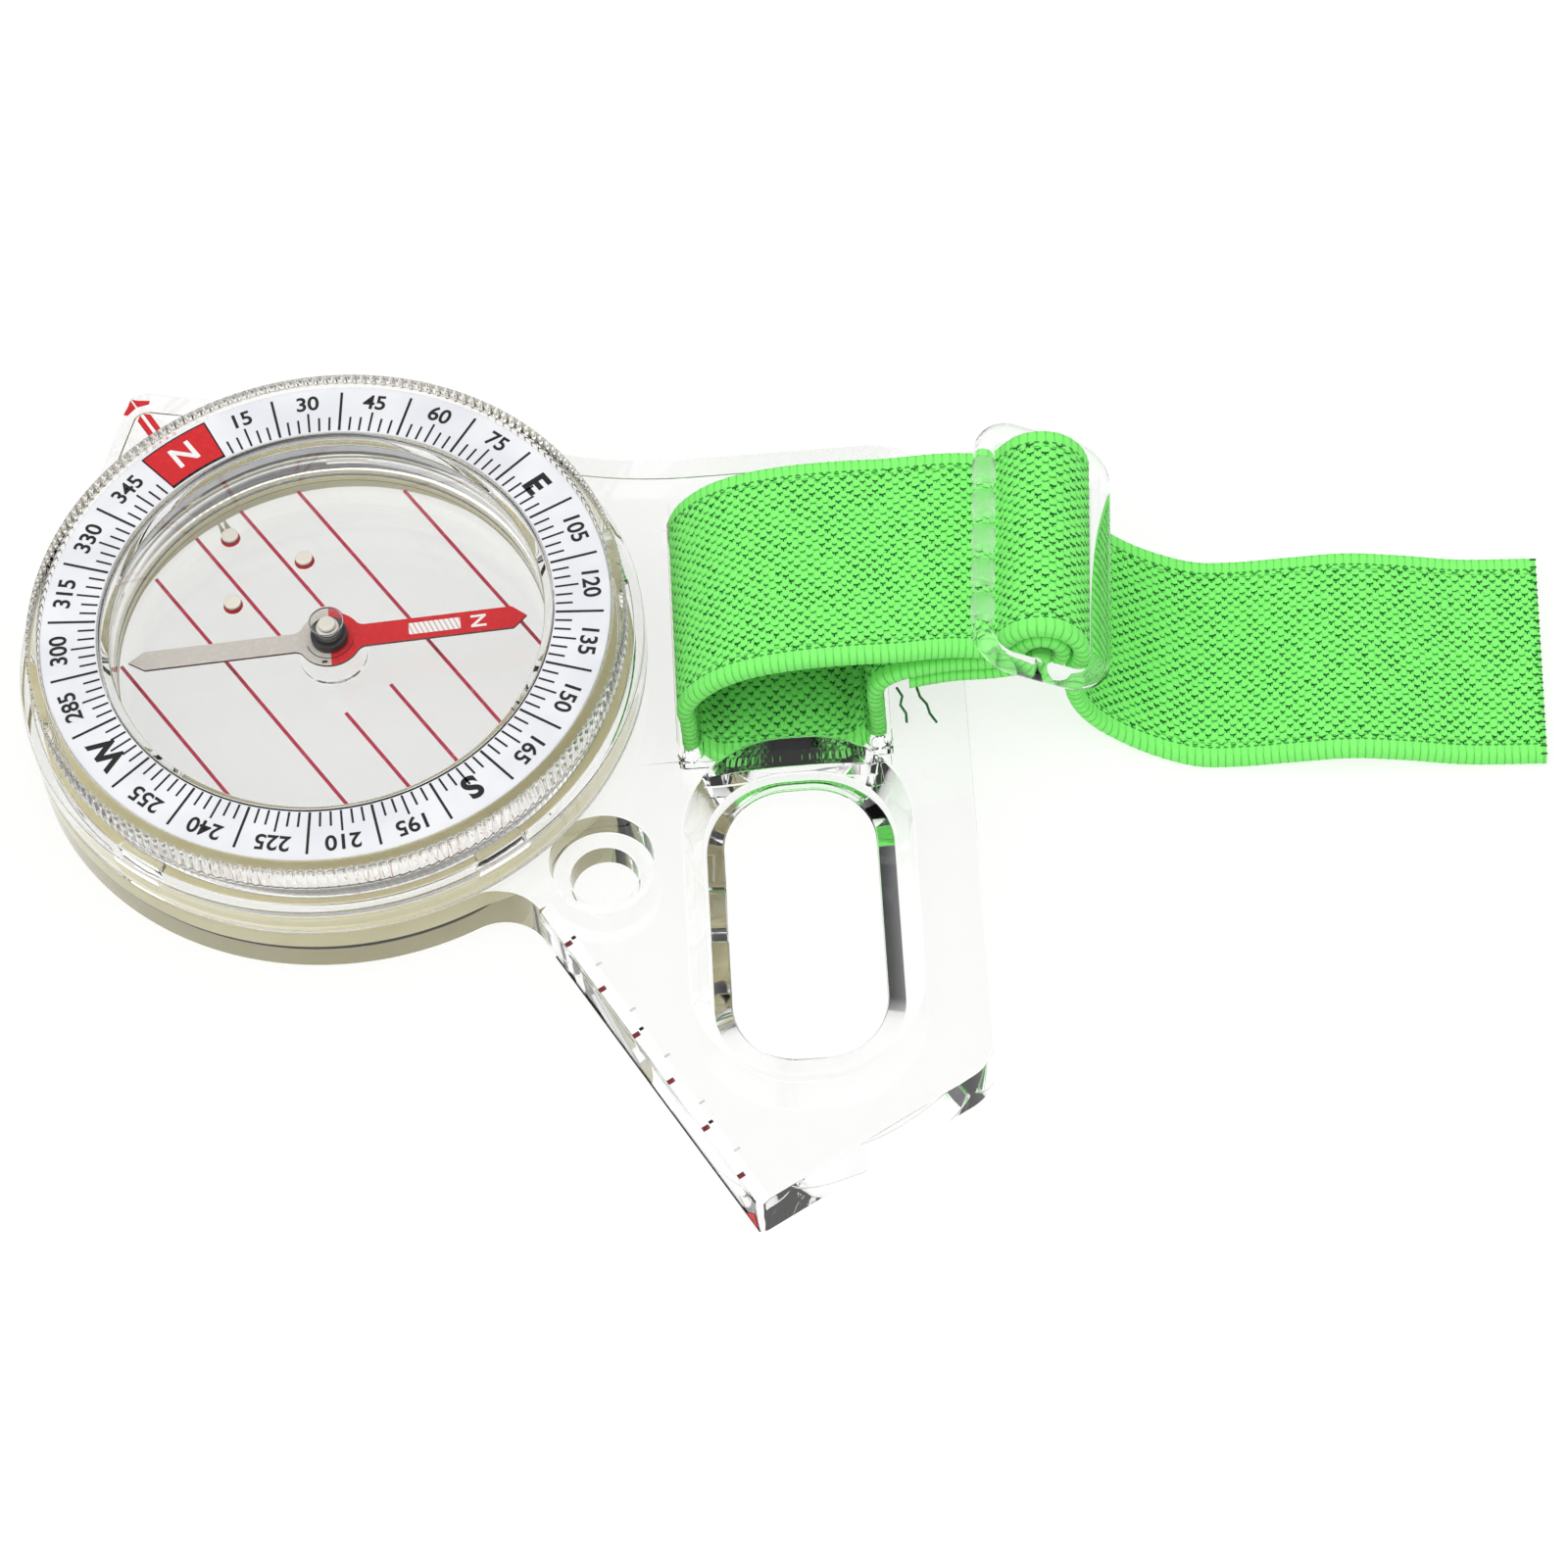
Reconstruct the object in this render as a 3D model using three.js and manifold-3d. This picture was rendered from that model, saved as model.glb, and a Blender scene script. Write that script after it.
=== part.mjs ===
// A thumb compass: a clear plate with a turning liquid capsule at one end and, at the other,
// an elastic strap that is held by a clear three-bar buckle.
// Millimetres and degrees. +Z is up, the plate's underside lies on z = 0 and the dial's axis is the Z axis.
// +X runs along the strap. The direction of travel points to travelAngle, seen from above.
import * as THREE from "three";
import { mergeVertices } from "three/addons/utils/BufferGeometryUtils.js";
import Module from "manifold-3d";

const wasm = await Module();
wasm.setup();

// Driving dimensions.
const slip = 0.1; // clearance between two pieces that are fitted together
const running = 0.3; // clearance between two pieces that turn against each other
const roundSteps = 72; // sides of a full circle on the large rings
const smallSteps = 24; // sides of a full circle on the small turned pieces

const plateThickness = 4.8;
const plateRadius = 25.4; // the round end, about the dial's axis
const travelAngle = 120;
const noseReach = plateRadius + 9; // from the dial's axis to the pointed nose, before it is rounded
const noseRound = 1.2;
const wingTop = 18.4; // y of the straight edge beyond the strap
const slotBeyondRing = 3; // from the plate's round end to the first slot's middle
const slotSpacing = 15.2;
const wingBeyondSlot = 7.2; // from the second slot's middle to the edge under the buckle
const leftSlot = plateRadius + slotBeyondRing; // x of the slot that the thumb loop rises from
const rightSlot = leftSlot + slotSpacing; // x of the slot that the buckle's strap rises from
const wingRight = rightSlot + wingBeyondSlot; // x of the edge under the buckle
const wingTopRound = 7;
const wingBottomRound = 4;
const shoulderFillet = 40; // between the round end and the wing's straight edge
const rulerOffset = 1.5; // the ruler edge, to the right of the line of travel
const rulerFillet = 4; // between the round end and the ruler edge
const tailReach = plateRadius + 35.9; // from the dial's axis back to the plate's rear edge
const tipRound = 0.6;
const rulerChamfer = { width: 1, depth: 0.6 };
const lanyard = { beyondRing: 3.88, angle: -44.2, hole: 2.7, counterbore: 4.15, depth: 2.5 };
const thumbWindow = {
  fromSlot: 8.3, // from the first slot's middle to the window's middle
  y: -25.6,
  width: 12.2,
  length: 24.8,
  corner: 5.2,
  ledge: 1.65, // width of the thin ledge round the opening
  ledgeHeight: 1.55,
  ledgeRise: 0.1,
  draft: 1.4, // how far the pocket over the ledge opens towards the top
  chamfer: { width: 1.4, height: 1.35 }, // under the ledge
};

const strapWidth = 19.6;
const strapThickness = 1.25;
const strapMiddle = 1; // y of the strap's centre line
const strapFlare = 1.6; // how far each edge spreads where the strap lies slack under the plate
const slotWidth = 2;
const slotEndRoom = 1.8; // slot length beyond the strap, at each end
const strapClearance = 0.2; // between the strap and what it lies against
const turnRadius = 1; // of the strap's centre line where it enters the plate's underside

const barRadius = 0.85;
const barSpacing = 5.2; // between neighbouring bars of the buckle
const buckleSlope = 27; // the buckle leans down, away from the dial
const buckle = { x: wingRight + 6.9, z: 11.5 }; // centre of the middle bar
const buckleTurn = 4.5; // turned clockwise, seen from above
const railRoom = 0.45; // between a strap edge and the buckle's rail
const buckleRound = 2.6; // corner radius of the buckle's centre line
const openingRound = 0.57; // corner radius of its two openings

const collar = {
  inner: plateRadius - 0.9,
  height: 3.2,
  lugReach: 0.75,
  lugHeight: 0.7,
  lugs: 5,
  lugAngle: 5, // half of the angle that a lug takes up
  firstLug: 15,
};
const flange = { radius: collar.inner - running, thickness: 0.9, lift: 0.35 };
const neckRadius = collar.inner - 1.1;
const neckHeight = 2.2;
const grip = { radius: flange.radius, height: 3.15, flutes: 60, fluteDepth: 0.28 };
const dial = {
  inner: neckRadius - 4.9,
  outer: neckRadius - 0.35,
  thickness: 0.5,
  rim: 0.3,
  skirt: 0.6,
  skirtHeight: 2.25,
};
const glowRing = { inner: dial.inner + 0.3, depth: 2.6, height: 0.95 }; // sunk into the plate, and above it
const dialHeading = 123.7; // direction of the printed north, seen from above

const cup = { floor: 0.9, lift: 0.3, wall: 0.7, belt: 0.8, beltHeight: 2.9, depth: 4.9 };
const lidThickness = 1.1;
const lidBoss = { radius: 1.35, height: 0.25 };
const pivotBoss = { radius: 2.75, height: 0.35, collar: 0.9, collarHeight: 0.75 };
const pin = { radius: 0.25, length: 4.2, point: 0.6 };
const dots = { radius: 0.7, depth: 0.55, noseRadius: 15.5, pairRadius: 10.35, pairAngle: 19.9 };
const plug = { radius: 0.4, angle: 205 };

const needleHeading = 3.1; // direction of the needle's north, seen from above
const blade = { thickness: 0.25, lift: 2.25, hub: 2.6, bore: 0.6 };
const northArm = { half: 1.05, tip: dial.inner - 2.5, point: 1.15 };
const southArm = { half: 0.9, tip: dial.inner - 2.1, point: 1.3 };
const magnet = { radius: 1.5, thickness: 0.8 };
const jewel = { foot: 1.2, footHeight: 0.4, radius: 0.8, height: 0.85, bore: 0.34, boreDepth: 0.95 };

// Heights that follow from the dimensions above.
const glowBottom = plateThickness - glowRing.depth;
const glowTop = plateThickness + glowRing.height;
const flangeBottom = glowTop + flange.lift;
const flangeTop = flangeBottom + flange.thickness;
const gripBottom = flangeTop + neckHeight;
const gripTop = gripBottom + grip.height;
const dialTop = gripTop - dial.rim;
const dialBottom = dialTop - dial.thickness;
const skirtBottom = dialBottom - dial.skirtHeight;
const cupBottom = plateThickness + cup.lift;
const cupFloor = cupBottom + cup.floor;
const cupOuter = dial.inner - 2 * slip;
const cupInner = cupOuter - cup.wall;
const cupTop = cupFloor + cup.depth;
const lidBottom = cupTop + slip;
const bladeBottom = cupFloor + blade.lift;
const magnetBottom = bladeBottom + blade.thickness + slip / 2;
const jewelBottom = magnetBottom + magnet.thickness + slip / 2;

const rad = THREE.MathUtils.degToRad;
const polar = (radius, degrees) =>
  new THREE.Vector2(radius * Math.cos(rad(degrees)), radius * Math.sin(rad(degrees)));

const material = (color, roughness, metalness = 0, opacity = 1) =>
  new THREE.MeshStandardMaterial({ color, roughness, metalness, opacity, transparent: opacity < 1 });
const clearPlastic = material(0xf4f6f2, 0.06, 0, 0.3);
const luminous = material(0xe9e3b0, 0.55);
const dialWhite = material(0xe6e6ea, 0.45);
const needlePaint = material(0xc8202a, 0.4);
const magnetBlack = material(0x151515, 0.5, 0.3);
const steel = material(0xb9bcc0, 0.25, 1);
const elastic = material(0x35d43c, 0.9);

const thumbCompass = new THREE.Group();
const bezelGroup = new THREE.Group();
const needleGroup = new THREE.Group();
bezelGroup.rotation.z = rad(dialHeading);
needleGroup.rotation.z = rad(needleHeading);
thumbCompass.add(bezelGroup, needleGroup);

function addPiece(name, shape, finish, parent = thumbCompass) {
  const mesh = new THREE.Mesh(toGeometry(shape), finish);
  mesh.name = name;
  parent.add(mesh);
}

function toSolid(geometry) {
  const bare = new THREE.BufferGeometry().setAttribute("position", geometry.getAttribute("position"));
  if (geometry.index) bare.setIndex(geometry.index);
  const merged = mergeVertices(bare, 1e-4);
  const vertProperties = merged.getAttribute("position").array;
  const triVerts = new Uint32Array(merged.index.array);
  return new wasm.Manifold(new wasm.Mesh({ numProp: 3, vertProperties, triVerts }));
}

function toGeometry(solid) {
  const mesh = solid.getMesh();
  return new THREE.BufferGeometry()
    .setAttribute("position", new THREE.BufferAttribute(mesh.vertProperties, 3))
    .setIndex(new THREE.BufferAttribute(mesh.triVerts, 1));
}

// A ring or disc turned about Z from a closed list of [radius, height], anticlockwise as drawn.
function turned(profile, steps = roundSteps) {
  const points = [...profile, profile[0]].map(([r, z]) => new THREE.Vector2(r, z));
  return toSolid(new THREE.LatheGeometry(points, steps).rotateX(Math.PI / 2));
}

const ringProfile = (inner, outer, bottom, top) => [
  [inner, bottom],
  [outer, bottom],
  [outer, top],
  [inner, top],
];

// A flat shape between two heights.
function slab(shape, bottom, top, curveSegments = 12) {
  const options = { depth: top - bottom, bevelEnabled: false, curveSegments };
  return toSolid(new THREE.ExtrudeGeometry(shape, options).translate(0, 0, bottom));
}

function disc(x, y, radius, bottom, top, steps = smallSteps) {
  const shape = new THREE.Shape().absarc(x, y, radius, 0, 2 * Math.PI);
  return slab(shape, bottom, top, steps / 2);
}

// A closed rectangle with round corners, about its centre, as a list of points.
function roundedRectangle(x, y, width, length, corner, cornerSteps = 8) {
  const points = [];
  const corners = [
    [1, 1, 0],
    [-1, 1, 90],
    [-1, -1, 180],
    [1, -1, 270],
  ];
  for (const [sx, sy, start] of corners)
    for (let i = 0; i <= cornerSteps; i++) {
      const turn = polar(corner, start + (90 * i) / cornerSteps);
      points.push(
        new THREE.Vector2(
          x + sx * (width / 2 - corner) + turn.x,
          y + sy * (length / 2 - corner) + turn.y,
        ),
      );
    }
  return points;
}

// A solid between two loops of as many points each, at two heights, such as a pocket with draft.
function tapered(lower, bottom, upper, top) {
  const count = lower.length;
  const position = [
    ...lower.flatMap((p) => [p.x, p.y, bottom]),
    ...upper.flatMap((p) => [p.x, p.y, top]),
  ];
  const index = [];
  for (const [a, b, c] of THREE.ShapeUtils.triangulateShape(lower, []))
    index.push(a, c, b, a + count, b + count, c + count);
  for (let i = 0; i < count; i++) {
    const next = (i + 1) % count;
    index.push(i, next, next + count, i, next + count, i + count);
  }
  const geometry = new THREE.BufferGeometry()
    .setAttribute("position", new THREE.Float32BufferAttribute(position, 3))
    .setIndex(index);
  return toSolid(geometry);
}

// A point given along the line of travel (forwards) and to its right.
const onTravel = (forwards, right) =>
  polar(forwards, travelAngle).add(polar(right, travelAngle - 90));

// Rounds the corner at b between a and c into the path, which ends before it.
function roundCorner(path, a, b, c, radius) {
  const into = a.clone().sub(b).normalize();
  const out = c.clone().sub(b).normalize();
  const half = Math.acos(into.dot(out)) / 2;
  const back = radius / Math.tan(half);
  const centre = b.clone().addScaledVector(into.clone().add(out).normalize(), radius / Math.sin(half));
  const from = b.clone().addScaledVector(into, back).sub(centre);
  const to = b.clone().addScaledVector(out, back).sub(centre);
  const clockwise = from.cross(to) < 0;
  path.absarc(centre.x, centre.y, radius, from.angle(), to.angle(), clockwise);
}

function plateOutline() {
  const lineAt = (x) => new THREE.Vector2(x, wingTop);
  const tip = onTravel(-tailReach, rulerOffset);
  const rearDirection = polar(1, travelAngle - 90);
  const rearRight = tip
    .clone()
    .addScaledVector(rearDirection, (wingRight - tip.x) / rearDirection.x);
  const topRight = lineAt(wingRight);
  const shoulder = new THREE.Vector2(
    Math.sqrt((plateRadius + shoulderFillet) ** 2 - (wingTop + shoulderFillet) ** 2),
    wingTop + shoulderFillet,
  );
  const tangent = THREE.MathUtils.radToDeg(Math.acos(plateRadius / noseReach));
  const nose = polar(noseReach, travelAngle);
  const noseFrom = polar(plateRadius, travelAngle - tangent);
  const noseTo = polar(plateRadius, travelAngle + tangent);
  const rulerBack = Math.sqrt((plateRadius + rulerFillet) ** 2 - (rulerOffset - rulerFillet) ** 2);
  const rulerCentre = onTravel(-rulerBack, rulerOffset - rulerFillet);
  const rulerTop = onTravel(-rulerBack, rulerOffset);
  const outline = new THREE.Shape();
  roundCorner(outline, tip, rearRight, topRight, wingBottomRound);
  roundCorner(outline, rearRight, topRight, lineAt(shoulder.x), wingTopRound);
  const touch = shoulder.angle();
  outline.absarc(shoulder.x, shoulder.y, shoulderFillet, 1.5 * Math.PI, touch + Math.PI, true);
  outline.absarc(0, 0, plateRadius, touch, noseFrom.angle(), false);
  roundCorner(outline, noseFrom, nose, noseTo, noseRound);
  outline.absarc(0, 0, plateRadius, noseTo.angle(), rulerCentre.angle(), false);
  outline.absarc(
    rulerCentre.x,
    rulerCentre.y,
    rulerFillet,
    rulerCentre.angle() - Math.PI,
    rad(travelAngle - 90),
    true,
  );
  roundCorner(outline, rulerTop, tip, rearRight, tipRound);
  return outline;
}

function baseplate() {
  const through = 1;
  let plate = slab(plateOutline(), 0, plateThickness, 16);
  const slotLength = strapWidth + 2 * slotEndRoom;
  for (const x of [leftSlot, rightSlot]) {
    const slot = roundedRectangle(x, strapMiddle, slotWidth, slotLength, slotWidth / 2 - 0.01);
    plate = plate.subtract(slab(new THREE.Shape(slot), -through, plateThickness + through));
  }
  const channelHeight = strapClearance + strapThickness + slip;
  const channel = roundedRectangle(
    (leftSlot + rightSlot) / 2,
    strapMiddle,
    rightSlot - leftSlot + slotWidth,
    strapWidth + 2 * (strapFlare + strapClearance),
    0.5,
  );
  plate = plate.subtract(slab(new THREE.Shape(channel), -through, channelHeight));
  const { hole, counterbore, depth } = lanyard;
  const at = polar(plateRadius + lanyard.beyondRing, lanyard.angle);
  plate = plate
    .subtract(disc(at.x, at.y, hole, -through, plateThickness + through))
    .subtract(disc(at.x, at.y, counterbore, plateThickness - depth, plateThickness + through));
  const groove = ringProfile(
    glowRing.inner - slip,
    flange.radius + slip,
    glowBottom - slip / 2,
    plateThickness + through,
  );
  plate = plate.subtract(turned(groove));
  return windowTools().reduce((rest, tool) => rest.subtract(tool), plate).subtract(rulerBevel());
}

// What is cut away for the finger window: the opening, the chamfer under its ledge and the pocket over it.
function windowTools() {
  const { fromSlot, y, width, length, corner, ledge, ledgeHeight, ledgeRise, draft, chamfer } = thumbWindow;
  const overlap = 0.001; // so that neighbouring tools leave no skin between them
  const loop = (grow) =>
    roundedRectangle(leftSlot + fromSlot, y, width + 2 * grow, length + 2 * grow, corner + grow);
  const ledgeTop = ledgeHeight + ledgeRise;
  return [
    slab(new THREE.Shape(loop(0)), -overlap, plateThickness),
    tapered(loop(chamfer.width), -overlap, loop(0), chamfer.height),
    tapered(loop(0), ledgeHeight, loop(ledge), ledgeTop),
    tapered(loop(ledge), ledgeTop - overlap, loop(ledge + draft), plateThickness + overlap),
  ];
}

// The wedge that is cut away along the ruler edge's upper corner.
function rulerBevel() {
  const overhang = 2;
  const start = onTravel(-tailReach - overhang, rulerOffset);
  const section = new THREE.Shape([
    new THREE.Vector2(rulerChamfer.width, 0),
    new THREE.Vector2(-overhang, overhang),
    new THREE.Vector2(-overhang, -rulerChamfer.depth),
    new THREE.Vector2(0, -rulerChamfer.depth),
  ]);
  const fromFillet = Math.sqrt((plateRadius + rulerFillet) ** 2 - (rulerOffset - rulerFillet) ** 2);
  const length = tailReach + overhang - fromFillet;
  const bar = new THREE.ExtrudeGeometry(section, { depth: length, bevelEnabled: false });
  const along = onTravel(1, 0);
  const right = onTravel(0, 1);
  const place = new THREE.Matrix4().makeBasis(
    new THREE.Vector3(right.x, right.y, 0),
    new THREE.Vector3(0, 0, 1),
    new THREE.Vector3(-along.x, -along.y, 0),
  );
  const end = new THREE.Vector2(start.x, start.y).addScaledVector(along, length);
  bar.applyMatrix4(place).translate(end.x, end.y, plateThickness);
  return toSolid(bar);
}

// The raised ring that holds the bezel down with short lugs over its flange.
function bezelCollar() {
  const bottom = plateThickness + slip / 2;
  const top = bottom + collar.height;
  let ring = turned(ringProfile(collar.inner, plateRadius, bottom, top));
  const lugInner = collar.inner - collar.lugReach;
  for (let i = 0; i < collar.lugs; i++) {
    const middle = rad((360 / collar.lugs) * i + collar.firstLug);
    const half = rad(collar.lugAngle);
    const lug = new THREE.Shape()
      .absarc(0, 0, collar.inner + 0.3, middle - half, middle + half, false)
      .absarc(0, 0, lugInner, middle + half, middle - half, true);
    ring = ring.add(slab(lug, top - collar.lugHeight, top));
  }
  return ring;
}

const glowingRing = () =>
  turned(ringProfile(glowRing.inner, flange.radius, glowBottom, glowTop));

function gripOutline() {
  const shape = new THREE.Shape();
  const perFlute = 4;
  for (let i = 0; i < grip.flutes * perFlute; i++) {
    const wave = (1 - Math.cos((2 * Math.PI * i) / perFlute)) / 2;
    const point = polar(grip.radius - grip.fluteDepth * wave, (360 * i) / (grip.flutes * perFlute));
    if (i === 0) shape.moveTo(point.x, point.y);
    else shape.lineTo(point.x, point.y);
  }
  shape.closePath();
  return shape;
}

function bezel() {
  const bore = cupOuter + cup.belt + slip + 0.1;
  const seat = dial.outer + slip;
  const core = turned([
    [bore, flangeBottom],
    [flange.radius, flangeBottom],
    [flange.radius, flangeTop],
    [neckRadius, flangeTop],
    [neckRadius, gripTop],
    [seat, gripTop],
    [seat, dialBottom - slip / 2],
    [bore, dialBottom - slip / 2],
  ]);
  const inside = disc(0, 0, neckRadius - 0.1, gripBottom - 1, gripTop + 1, roundSteps);
  return core.add(slab(gripOutline(), gripBottom, gripTop).subtract(inside));
}

const dialRing = () =>
  turned([
    [dial.inner, skirtBottom],
    [dial.inner + dial.skirt, skirtBottom],
    [dial.inner + dial.skirt, dialBottom],
    [dial.outer, dialBottom],
    [dial.outer, dialTop],
    [dial.inner, dialTop],
  ]);

function dotPlaces() {
  return [
    polar(dots.noseRadius, 0),
    polar(dots.pairRadius, dots.pairAngle),
    polar(dots.pairRadius, -dots.pairAngle),
  ];
}

// A short cylinder that lies along the radius at an angle, between two radii.
function radialPin(radius, inner, outer, angle, height) {
  return toSolid(
    new THREE.CylinderGeometry(radius, radius, outer - inner, smallSteps)
      .rotateZ(Math.PI / 2)
      .translate((inner + outer) / 2, 0, height)
      .rotateZ(rad(angle)),
  );
}

const plugHeight = cupTop - 1;

function capsuleCup() {
  const beltBottom = glowTop + flange.lift + slip;
  const beltTop = beltBottom + cup.beltHeight;
  const socket = pin.radius + slip / 2;
  const bossTop = cupFloor + pivotBoss.height;
  const collarTop = bossTop + pivotBoss.collarHeight;
  let shell = turned([
    [0, cupBottom],
    [cupOuter, cupBottom],
    [cupOuter, beltBottom],
    [cupOuter + cup.belt, beltBottom],
    [cupOuter + cup.belt, Math.min(beltTop, skirtBottom - slip)],
    [cupOuter, Math.min(beltTop, skirtBottom - slip)],
    [cupOuter, cupTop],
    [cupInner, cupTop],
    [cupInner, cupFloor],
    [pivotBoss.radius, cupFloor],
    [pivotBoss.radius, bossTop],
    [pivotBoss.collar, bossTop],
    [pivotBoss.collar, collarTop],
    [socket, collarTop],
    [socket, cupFloor],
    [0, cupFloor],
  ]);
  for (const { x, y } of dotPlaces())
    shell = shell.subtract(disc(x, y, dots.radius + slip, cupFloor - dots.depth, cupFloor + 1));
  return shell.subtract(
    radialPin(plug.radius + slip / 2, cupInner - 1, cupOuter + 1, plug.angle, plugHeight),
  );
}

function capsuleLid() {
  return turned([
    [0, lidBottom - lidBoss.height],
    [lidBoss.radius, lidBottom - lidBoss.height],
    [lidBoss.radius, lidBottom],
    [dial.inner - slip, lidBottom],
    [dial.inner - slip, lidBottom + lidThickness],
    [0, lidBottom + lidThickness],
  ]);
}

function pivotPin() {
  const bottom = cupFloor + slip / 2;
  const profile = [
    [0, bottom],
    [pin.radius, bottom],
    [pin.radius, bottom + pin.length - pin.point],
    [0, bottom + pin.length],
  ];
  return turned(profile, smallSteps);
}

function needleBlade() {
  const hubAngle = (half) => Math.asin(half / blade.hub);
  const shape = new THREE.Shape();
  const northShoulder = northArm.tip - northArm.point;
  const southShoulder = southArm.tip - southArm.point;
  shape.moveTo(northArm.tip, 0);
  shape.lineTo(northShoulder, northArm.half);
  shape.absarc(0, 0, blade.hub, hubAngle(northArm.half), Math.PI - hubAngle(southArm.half), false);
  shape.lineTo(-southShoulder, southArm.half);
  shape.lineTo(-southArm.tip, 0);
  shape.lineTo(-southShoulder, -southArm.half);
  shape.absarc(0, 0, blade.hub, Math.PI + hubAngle(southArm.half), -hubAngle(northArm.half), false);
  shape.lineTo(northShoulder, -northArm.half);
  shape.closePath();
  const plate = slab(shape, bladeBottom, bladeBottom + blade.thickness, 16);
  return plate.subtract(disc(0, 0, blade.bore, bladeBottom - 1, bladeBottom + 1));
}

const needleMagnet = () =>
  turned(
    ringProfile(blade.bore, magnet.radius, magnetBottom, magnetBottom + magnet.thickness),
    smallSteps,
  );

function jewelCap() {
  const shoulder = jewelBottom + jewel.footHeight;
  const top = shoulder + jewel.height;
  const profile = [
    [jewel.bore, jewelBottom],
    [jewel.foot, jewelBottom],
    [jewel.foot, shoulder],
    [jewel.radius, shoulder],
    [jewel.radius, top],
    [0, top],
    [0, jewelBottom + jewel.boreDepth],
    [jewel.bore, jewelBottom + jewel.boreDepth - 0.2],
  ];
  return turned(profile, smallSteps);
}

// How the strap swings round as it nears the buckle, and how its free end drifts to the side.
const buckleSine = Math.sin(rad(buckleTurn));
const swing = (x) => buckleSine * THREE.MathUtils.smoothstep(x, buckle.x - 12.7, buckle.x - 4.7);
const sideDrift = (x) => -3.3 * THREE.MathUtils.smoothstep(x, buckle.x + 1.3, buckle.x + 13.3);
const layDown = (x, y, z) => [
  x + (y - strapMiddle) * swing(x),
  y - (x - buckle.x) * swing(x) + sideDrift(x),
  z,
];

// 0 at the slots and 1 where the strap lies flat between them.
const flatShare = (x) =>
  THREE.MathUtils.smoothstep(x, leftSlot + 0.2, leftSlot + 2.6) *
  (1 - THREE.MathUtils.smoothstep(x, rightSlot - 2.6, rightSlot - 0.2));

// A length of strap along a route of [x, z] in the strap's middle plane. It may flare in its middle.
function strapLength(route, stations, flare = 0) {
  const curve = new THREE.CatmullRomCurve3(
    route.map(([x, z]) => new THREE.Vector3(x, 0, z)),
    false,
    "centripetal",
  );
  const half = strapThickness / 2;
  const position = [];
  const index = [];
  for (let i = 0; i <= stations; i++) {
    const at = curve.getPointAt(i / stations);
    const along = curve.getTangentAt(i / stations);
    const reach = strapWidth / 2 + flare * flatShare(at.x);
    for (const [side, face] of [[-1, -1], [1, -1], [1, 1], [-1, 1]])
      position.push(
        ...layDown(
          at.x - face * half * along.z,
          strapMiddle + side * reach,
          at.z + face * half * along.x,
        ),
      );
    if (i === stations) break;
    for (let k = 0; k < 4; k++) {
      const a = 4 * i + k;
      const b = 4 * i + ((k + 1) % 4);
      index.push(a, b, b + 4, a, b + 4, a + 4);
    }
  }
  const last = 4 * stations;
  index.push(0, 2, 1, 0, 3, 2, last, last + 1, last + 2, last, last + 2, last + 3);
  const geometry = new THREE.BufferGeometry()
    .setAttribute("position", new THREE.Float32BufferAttribute(position, 3))
    .setIndex(index);
  return toSolid(geometry);
}

// Points on a circle about the buckle's middle bar.
function aroundBar(radius, from, to, count) {
  const points = [];
  for (let i = 0; i <= count; i++) {
    const at = polar(radius, from + ((to - from) * i) / count);
    points.push([buckle.x + at.x, buckle.z + at.y]);
  }
  return points;
}

const half = strapThickness / 2;
const wrapRadius = barRadius + strapClearance + half;
const overRadius = wrapRadius + strapThickness + strapClearance;
const underPlate = strapClearance + half;
const slotMouth = plateThickness + 0.1;
const cutGap = 0.3; // between the strap's nodes, which are one strap on the real object

function underRunRoute() {
  const corner = (x, from, to) =>
    [0, 1, 2, 3].map((i) => {
      const at = polar(turnRadius, from + ((to - from) * i) / 3);
      return [x + at.x, underPlate + turnRadius + at.y];
    });
  return [
    [leftSlot, slotMouth],
    [leftSlot, 3],
    ...corner(leftSlot + turnRadius, 180, 270),
    ...corner(rightSlot - turnRadius, 270, 360),
    [rightSlot, 3],
    [rightSlot, slotMouth],
  ];
}

// Points given from the slot or the bar that they hang from.
const fromX = (x, points) => points.map(([dx, z]) => [x + dx, z]);

const thumbArchRoute = () => [
  ...fromX(leftSlot, [
    [0, slotMouth + cutGap],
    [-0.1, 7],
    [0.7, 8.7],
    [2.5, 10.5],
    [4.3, 11.5],
    [6.4, 12.15],
    [9.7, 12.6],
    [13.1, 12.68],
  ]),
  ...fromX(buckle.x, [
    [-12.7, 12.55],
    [-9.2, 12.25],
    [-7.2, 12],
  ]),
];

const anchorRoute = () => [
  ...fromX(rightSlot, [
    [0, slotMouth + cutGap],
    [0, 7.5],
    [0.5, 8.9],
    [1.7, 9.8],
    [3.4, 10.15],
  ]),
  ...fromX(buckle.x, [
    [-7.7, 10.15],
    [-4.7, 10.2],
    [-3.4, 10.45],
    [-2.3, 11.3],
  ]),
  ...aroundBar(wrapRadius, 140, -110, 9),
  ...fromX(buckle.x, [
    [-2.2, 9.25],
    [-4.7, 8.75],
    [-7.7, 8.7],
    [-11.3, 8.7],
  ]),
];

const freeEndRoute = () => [
  ...fromX(buckle.x, [
    [-7.2 + cutGap, 11.97],
    [-5.7, 11.8],
    [-4.6, 11.75],
    [-3.5, 12.2],
  ]),
  ...aroundBar(overRadius, 145, -20, 8),
  ...fromX(buckle.x, [
    [2.6, 9.2],
    [2.45, 7.4],
    [2.5, 5.6],
    [3.1, 3.8],
    [4.4, 2.1],
    [6.7, 1],
    [10.3, half],
    [15.3, half],
    [19.8, 1.2],
    [24.3, 1.7],
    [28.8, 1.3],
    [33.3, half],
    [39.8, half],
  ]),
];

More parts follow.
